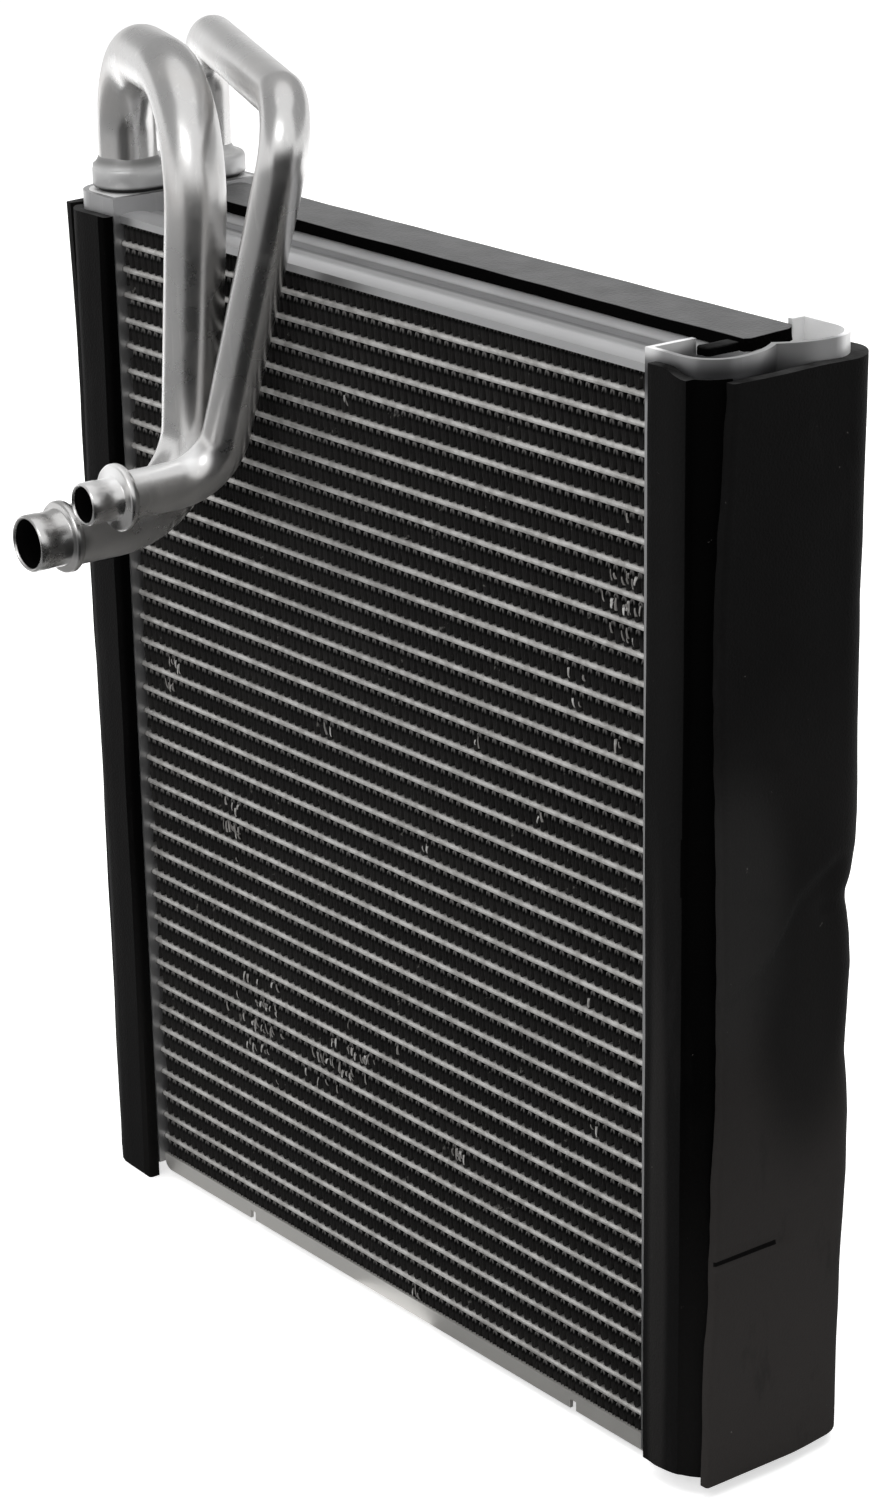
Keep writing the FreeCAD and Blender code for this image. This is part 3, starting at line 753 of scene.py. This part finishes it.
def fitting_profile(outer, bead, spigot, bore):
    """Bead, plain spigot and rounded mouth, as (along, radius)."""
    length = spigot_length + bead_width / 2
    rise = [(0.0, outer), (0.05 * mm, outer + 0.12 * mm), (0.15 * mm, bead - 0.75 * mm),
            (0.4 * mm, bead - 0.25 * mm), (0.85 * mm, bead)]
    fall = [(bead_width - along, radius) for along, radius in reversed(rise[2:])]
    neck = [(bead_width - 0.1 * mm, spigot + 0.2 * mm), (bead_width + 0.1 * mm, spigot)]
    groove = [(length * 0.55, spigot - 0.12 * mm), (length * 0.6, spigot - 0.12 * mm),
              (length * 0.65, spigot)]
    mouth = [(length - 0.7 * mm, spigot), (length - 0.2 * mm, spigot - 0.25 * mm),
             (length, spigot - 0.6 * mm), (length - 0.15 * mm, bore + 0.2 * mm), (length - 0.6 * mm, bore)]
    return rise + fall + neck + groove + mouth


def bent_pipe(name, node, route, bends, outer, bore, bead, spigot, seed):
    points = bend_path(route, bends)

    def outside(point, angle):
        where = point + Vector((math.cos(angle), math.sin(angle), 0)) * 0.01
        return outer + wander(where, 0.012, seed, pipe_unevenness)

    rings, side = path_rings(points[:-1], outside)
    way = Vector((0, -1, 0))
    side = (side - way * side.dot(way)).normalized()
    for along, radius in fitting_profile(outer, bead, spigot, bore):
        rings.append(pipe_ring(points[-1] + way * along, side, way.cross(side), lambda angle: radius))
    inner, _ = path_rings(points, lambda point, angle: bore)
    verts, faces = skin(rings + inner[::-1], ends=False, along=True)
    piece = make_piece(name, verts, faces, pipe_metal, "pipe_aluminium", 50)
    piece.data.materials.append(bore_painted_shade)
    # The bore's faces take the near-black material of painted shade
    first_dark = (len(rings) - 1) * pipe_sides
    for face in piece.data.polygons[first_dark:]:
        face.material_index = 1
    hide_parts(node)


bent_pipe("suction_pipe_bent", "suction_pipe", suction_route, suction_bends, suction_radius,
          suction_bore, suction_bead, suction_spigot, 11)
bent_pipe("liquid_pipe_bent", "liquid_pipe", liquid_route, liquid_bends, liquid_radius,
          liquid_bore, liquid_bead, liquid_spigot, 12)


# Port block

def stadium(front, rear, radius, level):
    """Ring of points round two places with half-round ends."""
    points = arc_points((front.x, front.y), radius, 180, 360, 20)
    points += arc_points((rear.x, rear.y), radius, 0, 180, 20)
    return [Vector((x, y, level)) for x, y in points]


def collar(centre, radius, level, rise, seed):
    """Brazing run round a pipe's foot: a small hollow-sided ring, uneven."""
    rings = []
    for out, up in ((braze_reach, -0.4), (braze_reach, 0.0), (braze_reach * 0.62, 0.22),
                    (braze_reach * 0.3, 0.52), (braze_reach * 0.1, 0.86), (0.0, 1.0), (-0.3 * mm, 1.0),
                    (-0.3 * mm, -0.4)):
        ring = []
        for a in turns(48):
            sway = 1 + 0.18 * noise.noise(Vector((math.cos(a) * 2, math.sin(a) * 2, seed)))
            ring.append(centre + Vector((math.cos(a), math.sin(a), 0)) * (radius + out * sway)
                        + Vector((0, 0, level - centre.z + up * rise * (sway if up > 0 else 1))))
        rings.append(ring)
    return skin(rings, ends=False, along=True)


front_port = at_core(-11.0, 10.6, 0)
rear_port = at_core(-11.0, 37.0, 0)
# How far the block's side stands in, and how high, in millimetres from the tank's rim
block_profile = ((1.6, 0.0), (1.3, 0.7), (0.3, 0.9), (0.0, 1.3), (0.0, 5.2), (0.15, 5.9), (0.6, 6.4),
                 (1.2, 6.7), (3.0, 6.75))
block_parts = [skin([stadium(front_port, rear_port, block_radius - inset * mm, rim_level + rise * mm)
                     for inset, rise in block_profile]),
               collar(front_port, suction_radius, rim_level + block_height, 2.2 * mm, 3),
               collar(rear_port, liquid_radius, rim_level + block_height, 2.0 * mm, 5)]
port_block_piece = make_piece("port_block_cast", *joined(block_parts), block_metal, "block_aluminium", 55)
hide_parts("port_block")


# Foam pads

def spaced(points, step):
    """The same outline with more points on its long runs."""
    result = []
    for index, start in enumerate(points):
        end = points[(index + 1) % len(points)]
        parts = max(1, round(math.dist(start, end) / step))
        for part in range(parts):
            share = part / parts
            result.append((start[0] + (end[0] - start[0]) * share, start[1] + (end[1] - start[1]) * share))
    return result


def finish_pad(piece, node, patches):
    """Other foam on the faces that a patch covers, told by (out, back, level, way that it faces)."""
    for index, (material, covers) in enumerate(patches):
        piece.data.materials.append(material)
        for face in piece.data.polygons:
            x, y, z = face.center
            if covers(abs(x) - core_right, y - core_front, z, face.normal):
                face.material_index = index + 1
    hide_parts(node)


def foam_pad(name, node, side, outline, push, bottom_wave, seed, top_fall=None, patches=(),
             material=foam_skin):
    """Pad lofted up the tank on the side given, -1 left and 1 right.

    push(out, back, z) moves its skin, and top_fall(out) lowers its top.
    """
    top_wave = 0.5 * mm
    low, high = (corner.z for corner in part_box(node))
    outline = spaced(outline, pad_step)
    rings = []
    for step in range(pad_levels + 1):
        share = step / pad_levels
        ring = []
        for out, back in outline:
            bottom = low + wander((out * 60, back * 60, 1), 1.0, seed, bottom_wave) + bottom_wave * 0.4
            top = high + wander((out * 60, back * 60, 2), 1.0, seed + 1, top_wave) - top_wave * 0.4
            if top_fall:
                top -= top_fall(out)
            z = bottom + (top - bottom) * share
            moved_out, moved_back = push(out, back, z)
            x = side * (core_right + (out + moved_out))
            ring.append(Vector((x, core_front + (back + moved_back), z)))
        rings.append(ring[::-1] if side > 0 else ring)
    finish_pad(make_piece(name, *skin(rings), material, "foam", 50), node, patches)


def front_pad_outline(edge, seam, tail, full_turn, thin_turn):
    """Flat over the tank's front, then pressed thin where it follows the corner to the seam.

    A tail of the thin skin goes on past the seam, under the side pad. The turns are where the
    pad begins to thin and where it has become thin, in degrees round the corner.
    """
    def at_turn(turn, thickness):
        angle = math.radians(turn - 90)
        reach = tank_corner_radius + thickness
        return corner_out + reach * math.cos(angle), corner_back + reach * math.sin(angle)

    wrap = math.degrees(math.acos((corner_back - seam) / tank_corner_radius))
    end_turn = min(90.0, wrap + math.degrees(tail / tank_corner_radius))
    skin_line = tank_front - foam_thickness
    outer = [at_turn(full_turn * step / 4, foam_thickness) for step in range(1, 5)]
    for share in (step / 6 for step in range(1, 7)):
        outer.append(at_turn(full_turn + (thin_turn - full_turn) * share,
                             foam_thickness + (valley_skin - foam_thickness) * smooth(0, 1, share)))
    for share in (step / 6 for step in range(1, 7)):
        outer.append(at_turn(thin_turn + (wrap - thin_turn) * share,
                             valley_skin + (tail_skin - valley_skin) * share))
    outer.append(at_turn(end_turn, tail_skin))
    inner = [at_turn(end_turn * step / 12, pad_gap) for step in range(13)]
    ends = [(edge, tank_front - pad_gap), (edge, skin_line + 0.6 * mm), (edge + 0.5 * mm, skin_line)]
    return ends + [(corner_out - 1.0 * mm, skin_line)] + outer + inner[::-1]


def side_pad_outline(seam):
    """From the seam along the tank's side and round its rear corner to the back."""
    start = seam + 0.3 * mm
    outside = tank_reach + foam_thickness
    over_tail = tank_reach + tail_skin + 0.1 * mm
    rear_outer = tank_back + foam_thickness - rear_foam_radius
    outer = arc_points((outside - rear_foam_radius, rear_outer), rear_foam_radius, 0, 90, 12)
    inner = arc_points((corner_out, core_depth - corner_back), tank_corner_radius + pad_gap, 90, 0, 10)
    edge = 1.0 * mm
    return ([(tank_reach + pad_gap, start + 6.0 * mm), (over_tail, start + 4.5 * mm), (over_tail, start),
             (outside - 0.5 * mm, start), (outside, start + 0.5 * mm)] + outer
            + [(edge, tank_back + foam_thickness), (edge, tank_back + pad_gap)] + inner)


def off_wall(out, back):
    """How far a point of a pad's outline lies off the tank's wall, from 0 to 1, and which way is out."""
    if corner_back <= back <= core_depth - corner_back:
        away, way = out - tank_reach, (1.0, 0.0)
    else:
        centre = corner_back if back < corner_back else core_depth - corner_back
        if out <= corner_out:
            away, way = max(tank_front - back, back - tank_back), (0.0, math.copysign(1.0, back - centre))
        else:
            reach = math.hypot(out - corner_out, back - centre)
            away, way = reach - tank_corner_radius, ((out - corner_out) / reach, (back - centre) / reach)
    return min(1, max(0, away / foam_thickness)), way


def waves_on(out, back, z, seed, size, long_wave, ripple_seed, ripple_size):
    slow = wander((out * 1.5, back * 1.5, z), long_wave, seed, size)
    return slow + wander((out, back, z), ripple_length, ripple_seed, ripple_size)


# Right side pad: where its front edge runs, and how far its rear corner is pushed in
right_edge_line = ((0.6, -1.4), (22, -1.3), (33, -1.2), (49, 0.1), (76, 0.7), (87, 0.8), (98, 1.6),
                   (108, 2.0), (119, 1.9), (141, 1.6), (161, 1.3), (171, 0.85), (190, 0.25), (210, -0.35),
                   (229, -0.35), (239, 0.1), (249, 0.9), (259, 1.6), (278, 2.8))
right_corner_line = ((3, -1.75), (21, -1.7), (47, -1.4), (72, -0.6), (89, -0.6), (97, -1.1), (105, -1.8),
                     (121, -1.3), (129, -0.9), (137, -1.4), (145, -2.4), (153, -1.25), (161, -0.3),
                     (169, -0.05), (176, -0.1), (192, -0.6), (207, -0.75), (222, -0.85), (236, -0.4),
                     (258, -0.25), (280, -0.25))
# Right side pad's soft fold, as (back, height), and its creases, each with a depth and a width
right_fold_line = ((0, 128.5), (9, 132.7), (17, 138.4), (26, 151.5), (39, 158.7), (47, 160))
long_crease = ((0, 60.9), (10, 61.3), (22, 61.7))
right_creases = ((long_crease, 0.9, 1.6), (((0, 189.4), (17, 187.9)), 0.4, 1.8),
                 (((2, 156.3), (13, 153.5)), 0.4, 1.8), (((36, 146.0), (47, 148.0)), 0.6, 3.0))
# Thickness of the right front pad's valley, height of its ridge, and how far the left side pad flares
right_valley_line = ((0, 2.7), (60, 2.4), (110, 1.8), (160, 1.2), (200, 0.8), (286, 0.8))
right_ridge_line = ((0, 0.35), (120, 0.5), (170, 0.25), (200, 0.0), (286, 0.0))
left_flare_line = ((60, 0.0), (150, 0.3), (230, 0.9), (286, 1.6))


def right_side_push(out, back, z):
    """Front edge on its line, rear corner pressed in, a fold across and a few creases."""
    share, way = off_wall(out, back)
    amount = waves_on(out, back, z, 24, 0.35 * mm, 0.05, 27, ripple)
    amount += along_table(right_corner_line, z) * smooth(20 * mm, 44 * mm, back)
    above = z - along_table(right_fold_line, back)
    if above > 0:
        fold_push = 1.1 * mm * smooth(0, 3 * mm, above) * math.exp(-above / (22 * mm))
    else:
        fold_push = -0.9 * mm * smooth(0, 2.5 * mm, -above) * math.exp(above / (16 * mm))
    amount += fold_push * (1 - smooth(34 * mm, 46 * mm, back))
    for crease, depth, width in right_creases:
        first, last, fade = crease[0][0], crease[-1][0], 4
        if first - fade < back / mm < last + fade:
            ends = smooth(first - fade, first, back / mm) * (1 - smooth(last, last + fade, back / mm))
            off_line = (z - along_table(crease, back)) / (width * mm)
            amount -= depth * mm * math.exp(-off_line ** 2) * ends
    shift = along_table(right_edge_line, z) - right_seam
    shift += wander((0, 0, z), 0.006, 28, 0.35 * mm)
    shift *= 1 - smooth(4 * mm, 13 * mm, back)
    return way[0] * amount * share, way[1] * amount * share + shift


def right_front_push(out, back, z):
    """Soft waves on the flat, and a ridge before the valley on its lower part."""
    share, way = off_wall(out, back)
    amount = waves_on(out, back, z, 23, 0.45 * mm, 0.06, 26, ripple)
    ridge = math.exp(-((out - 9.5 * mm) / (2.2 * mm)) ** 2)
    amount += along_table(right_ridge_line, z) * ridge
    if out <= corner_out or back > corner_back:
        limit = min(0.0, tank_reach + tail_skin - out) if out > corner_out else 0.0
        return way[0] * amount * share + limit, way[1] * amount * share
    thick = math.hypot(out - corner_out, back - corner_back) - tank_corner_radius
    if thick < 0.2 * mm:
        return 0.0, 0.0
    skin_here = along_table(right_valley_line, z)
    thinned = (foam_thickness - thick) * (foam_thickness - skin_here) / (foam_thickness - valley_skin)
    fade = max(0.0, 1 - (back - tank_front) / (4 * mm)) if back > tank_front else 1.0
    reach = tank_corner_radius + (foam_thickness - thinned + amount * share * fade)
    new_out = corner_out + way[0] * reach
    new_back = corner_back + way[1] * reach
    if new_back > along_table(right_edge_line, z) - 0.4 * mm:
        new_out = min(new_out, tank_reach + tail_skin)
    return new_out - out, new_back - back


def left_front_push(out, back, z):
    share, way = off_wall(out, back)
    amount = waves_on(out, back, z, 21, 0.6 * mm, 0.06, 24, 0.6 * mm * 0.18) * share
    return way[0] * amount, way[1] * amount


def left_side_push(out, back, z):
    share, way = off_wall(out, back)
    amount = waves_on(out, back, z, 22, 0.7 * mm, 0.05, 25, 0.7 * mm * 0.18) * share
    flare = along_table(left_flare_line, z) * share
    return way[0] * amount + way[0] * flare, way[1] * amount + way[1] * flare


def falling_end(out):
    return 1.8 * mm * smooth(9 * mm, 17 * mm, out)


# Faces of the right front pad round the corner past its ridge, which take painted shade in the valley
def in_valley(out, back, z, way):
    return out > corner_out + 4.6 * mm


# Faces of the left front pad along its inner edge by the core, which take painted shade
def near_core(out, back, z, way):
    return out < 3.3 * mm


def in_crease(out, back, z, way):
    """Faces along the side pad's longest crease, which take painted shade."""
    on_skin = out > tank_reach + foam_thickness / 2 and back < 21 * mm
    return on_skin and abs(z - along_table(long_crease, back)) < 0.75 * mm


def on_front_end(out, back, z, way):
    return way.y < -0.7 and back < 6 * mm


foam_pad("left_front_pad", "left_front_foam", -1, front_pad_outline(0.5 * mm, 0.0, 0.0, 50.0, 64.0),
         left_front_push, 0.5 * mm, 31, patches=((painted_shade_foam, near_core),))
foam_pad("left_side_pad", "left_side_foam", -1, side_pad_outline(0.0), left_side_push, 0.6 * mm, 32)
foam_pad("right_front_pad", "right_front_foam", 1,
         front_pad_outline(3.8 * mm, right_seam, 3.5 * mm, 20.0, 27.0), right_front_push, 0.6 * mm, 33,
         falling_end, ((painted_shade_foam, in_valley),), front_skin)
foam_pad("right_side_pad", "right_side_foam", 1, side_pad_outline(right_seam), right_side_push,
         0.6 * mm, 34, patches=((painted_shade_foam, in_crease), (cut_foam, on_front_end)), material=side_skin)


def strip_tab(low, high):
    """Lower tab that the strip's end has at its front, in the step of the header plate."""
    outline = [(core_right + across, core_front + back) for across, back in
               ((tab_start, strip_front + 0.4 * mm), (tab_start, tab_front + 0.5 * mm),
                (tab_start + 0.5 * mm, tab_front), (tab_end - 0.9 * mm, tab_front + 0.1 * mm),
                (tab_end, tab_front + 1.0 * mm), (tab_end, strip_front + 0.4 * mm))]
    top = high.z - tab_drop
    middle = Vector((core_right + (tab_start + tab_end) / 2, core_front + (tab_front + strip_front) / 2, 0))
    rings = []
    for inset, level in ((0.3 * mm, low.z), (0.0, low.z + 0.3 * mm), (0.0, top - 0.4 * mm),
                         (0.4 * mm, top)):
        ring = []
        for x, y in spaced(outline, 1.2 * mm):
            point = Vector((x, y, 0))
            point += (middle - point).normalized() * inset
            lift = wander((x, y, 0), 0.008, 43, ripple) * (level > low.z)
            ring.append(Vector((point.x, point.y, level + lift)))
        rings.append(ring[::-1])
    return skin(rings)


def foam_strip():
    """Strip along the top plate, laid in a slightly wavy line, with its front corner cut off."""
    low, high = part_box("top_foam_strip")
    front = core_front + strip_front
    cut_share, nip_share = 0.86, 0.07
    outline = [(t / strip_points, 0.0) for t in range(strip_points + 1)] + [(1.0, 0.5)]
    outline += [(1 - t / strip_points, 1.0) for t in range(strip_points + 1)] + [(0.0, 0.5)]
    rings = []
    for share in (step / strip_stations for step in range(strip_stations + 1)):
        ring = []
        for along, up in outline:
            y = front + (high.y - front) * along
            reach = high.x - strip_skew * along
            if along > cut_share:
                reach -= strip_corner * (along - cut_share) / 0.14
            if along < nip_share:
                reach -= strip_corner / 2 * (nip_share - along) / nip_share
            x = low.x + (reach - low.x) * share
            edge = -1 if along < 0.02 else 1 if along > 0.98 else 0
            y -= edge * (0.2 * mm + wander((x, y, up), 0.02, 41, 0.3 * mm))
            z = low.z + (high.z - low.z) * up
            z += (wander((x, y, 0), 0.025, 42, 0.25 * mm) - 0.12 * mm) * up
            ring.append(Vector((x, y, z)))
        rings.append(ring[::-1])
    verts, faces = joined([skin(rings), strip_tab(low, high)])
    piece = make_piece("top_strip_pad", verts, faces, strip_painted_sheen, "foam", 50)
    # Faces below the strip's top, its sides and the lower tab, take the near-black foam of painted shade
    sides = high.z - 0.8 * mm
    finish_pad(piece, "top_foam_strip",
               ((painted_shade_foam, lambda out, back, z, way: abs(way.z) < 0.6 or z < sides),))
    rounding = piece.modifiers.new("rounding", "BEVEL")
    rounding.width = 0.35 * mm
    rounding.segments = 2
    rounding.limit_method = "ANGLE"
    rounding.angle_limit = math.radians(35)
    rounding.harden_normals = False


foam_strip()


# Bent fin edges

# Where they lie in the photograph, how far they spread, and how many there are
bent_clusters = (
    (625, 605, 16, 34, 30), (172, 677, 9, 14, 14), (232, 826, 9, 24, 16), (262, 1020, 26, 46, 44),
    (335, 1062, 46, 24, 40), (460, 1155, 12, 7, 9), (425, 845, 4, 4, 4), (325, 735, 4, 4, 2),
    (475, 740, 4, 4, 2), (540, 820, 4, 4, 2), (345, 405, 4, 4, 2), (585, 1000, 4, 4, 2),
    (595, 1135, 4, 4, 2), (415, 1300, 6, 4, 3), (575, 690, 10, 24, 4), (618, 740, 6, 6, 3),
)


def bent_edges():
    """Slivers of bare fin metal that have been pushed over at the core's front."""
    dice = random.Random(77)
    slat_step = fin_pitch / 2
    room = (tube_pitch - tube_thickness) / 2 - 0.4 * mm
    parts = []
    for px, py, spread_x, spread_y, count in bent_clusters:
        for _ in range(count):
            spot = on_core_front(px + dice.gauss(0, spread_x / 2), py + dice.gauss(0, spread_y / 2),
                                 fin_setback)
            row = math.floor((top_level - spot.z) / tube_pitch)
            if not 0 <= row < row_count or not core_left + 2 * mm < spot.x < core_right - 2 * mm:
                continue
            middle = top_level - (row + 0.5) * tube_pitch
            z = middle + dice.uniform(-0.8, 0.8) * room
            length = dice.uniform(1.2, 3.6) * mm
            thick = dice.uniform(0.14, 0.34) * mm
            tilt = dice.uniform(-0.22, 0.22)
            way = Vector((math.sin(tilt), dice.uniform(-0.3, 0.1), math.cos(tilt))).normalized()
            side = way.cross(Vector((0, 1, 0))).normalized()
            start = Vector((round(spot.x / slat_step) * slat_step, core_front + fin_setback + 0.25 * mm, z))
            length = min(length, room + abs(z - middle))
            sign = 1 if z < middle else -1
            rings = []
            for share in (0.0, 0.35, 0.7, 1.0):
                centre = start + way * sign * length * share
                centre.y -= 0.4 * mm * math.sin(share * 2.2)
                half = thick * (1 - 0.5 * share)
                rings.append([centre + side * half * 1.6 * math.cos(a) + Vector((0, half * math.sin(a), 0))
                              for a in turns(6)])
            parts.append(skin(rings))
    make_piece("bent_fin_edges", *joined(parts), bent_metal, "fin_aluminium", 60)


bent_edges()


# CAD nodes that stay

for finish, nodes in (
        (tank_metal, ("left_header_plate", "right_header_plate", "left_tank_shell", "right_tank_shell",
                      "left_tank_divider", "right_tank_divider")),
        (cap_metal, ("left_top_end_cap", "left_bottom_end_cap", "right_top_end_cap",
                     "right_bottom_end_cap")),
        (plate_metal, ("top_side_plate", "bottom_side_plate"))):
    for node in nodes:
        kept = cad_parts[node]
        if not kept.data.materials:
            kept.data.materials.append(finish)
        for place in kept.material_slots:
            place.material = finish


# Floor, backdrop, lamps and camera

floor_level = cad_box[0][2]
floor_reach = 6.0
card_steps = 24


def white_glow(tree, strength, kind="Emission"):
    return put(tree, kind, {"Color": (1, 1, 1, 1), "Strength": strength}).outputs[0]


def seen_directly(tree):
    """1 for rays from the camera, or by way of gloss or glass."""
    path = put(tree, "LightPath").outputs
    seen = math_node(tree, "ADD", path["Is Camera Ray"], path["Is Glossy Ray"], clamp=True)
    return math_node(tree, "ADD", seen, path["Is Transmission Ray"], clamp=True)


def studio_sheet(name, finish, verts, faces, shade, only_gloss):
    """Floor or card of the studio. shade(tree) makes its surface."""
    material = bpy.data.materials.new(finish)
    tree, surface = bare_tree(material, "OutputMaterial")
    tree.links.new(shade(tree), surface)
    mesh = bpy.data.meshes.new(name)
    mesh.from_pydata(verts, [], faces)
    mesh.materials.append(material)
    sheet = bpy.data.objects.new(name, mesh)
    bpy.context.scene.collection.objects.link(sheet)
    if only_gloss:
        sheet.visible_camera = False
        sheet.visible_diffuse = False
        sheet.visible_shadow = False


def floor_shade(tree):
    lit = put(tree, "BsdfDiffuse", {"Color": (0.86, 0.86, 0.86, 1)}).outputs[0]
    glow = white_glow(tree, times(tree, seen_directly(tree), 0.6))
    return put(tree, "AddShader", {0: lit, 1: glow}).outputs[0]


def make_floor():
    corners = [(x * floor_reach, y * floor_reach, floor_level)
               for x, y in ((-1, -1), (1, -1), (1, 1), (-1, 1))]
    studio_sheet("studio_floor", "pale_floor", corners, [(0, 1, 2, 3)], floor_shade, False)


def make_world():
    world = bpy.data.worlds.new("studio_backdrop")
    tree, surface = bare_tree(world, "OutputWorld")
    strength = blend_value(tree, seen_directly(tree), 0.45, 1.0)
    tree.links.new(white_glow(tree, strength, "Background"), surface)
    bpy.context.scene.world = world


def softbox(name, place, aim, size, power, in_gloss):
    lamp = bpy.data.lights.new(name, "AREA")
    lamp.shape = "RECTANGLE"
    lamp.size, lamp.size_y = size
    lamp.energy = power
    light = bpy.data.objects.new(name, lamp)
    light.location = place
    light.visible_glossy = in_gloss
    light.rotation_euler = (Vector(aim) - Vector(place)).to_track_quat("-Z", "Y").to_euler()
    bpy.context.scene.collection.objects.link(light)


def make_camera():
    right, up, back = camera_axes()
    lens = bpy.data.cameras.new("portrait_camera")
    lens.sensor_fit = "AUTO"
    lens.sensor_width = sensor_side
    lens.lens = camera_focus * sensor_side / photo_size[1]
    lens.shift_x = (photo_size[0] / 2 - camera_centre[0]) / photo_size[1]
    lens.shift_y = (camera_centre[1] - photo_size[1] / 2) / photo_size[1]
    lens.clip_start = 0.01
    lens.clip_end = 50
    camera = bpy.data.objects.new("portrait_camera", lens)
    turn = Matrix((right, up, back)).transposed().to_4x4()
    camera.matrix_world = Matrix.Translation(camera_place) @ turn
    bpy.context.scene.collection.objects.link(camera)
    bpy.context.scene.camera = camera


def gloss_card(name, from_turn, to_turn, profile, tone):
    """Card round the studio that only gloss sees. Turns run from the core's front towards its right."""
    verts = []
    for reach, level in profile:
        for step in range(card_steps + 1):
            turn = math.radians(from_turn + (to_turn - from_turn) * step / card_steps)
            verts.append((math.sin(turn) * reach, -math.cos(turn) * reach, level))
    row = card_steps + 1
    faces = [(k * row + i, k * row + i + 1, (k + 1) * row + i + 1, (k + 1) * row + i)
             for k in range(len(profile) - 1) for i in range(card_steps)]
    studio_sheet(name, name, verts, faces, lambda tree: white_glow(tree, tone), True)


make_floor()
make_world()
card_level = floor_level + 0.5 * mm
floor_card = ((0.03, card_level), (2.4, card_level))
gloss_card("left_floor_card", -80, 12, floor_card, 0.3)
gloss_card("dark_floor_card", 12, 100, floor_card + ((2.5, 0.6),), 0.02)
gloss_card("right_floor_card", 100, 150, floor_card, 0.08)
gloss_card("grey_canopy", 110, 355, ((2.2, 0.75), (2.1, 1.2), (1.7, 1.8), (1.2, 2.15)), 0.42)
softbox("top_softbox", (-0.3, 0.2, 1.5), (0, 0, 0.15), (2.2, 1.8), 26, False)
softbox("left_softbox", (-1.3, -0.9, 1.1), (0, 0, 0.15), (0.8, 1.4), 7, False)
softbox("front_softbox", (0.75, -1.5, 1.5), (0, 0, 0.2), (1.0, 0.6), 5, True)
make_camera()
bpy.context.scene.view_settings.view_transform = "Standard"
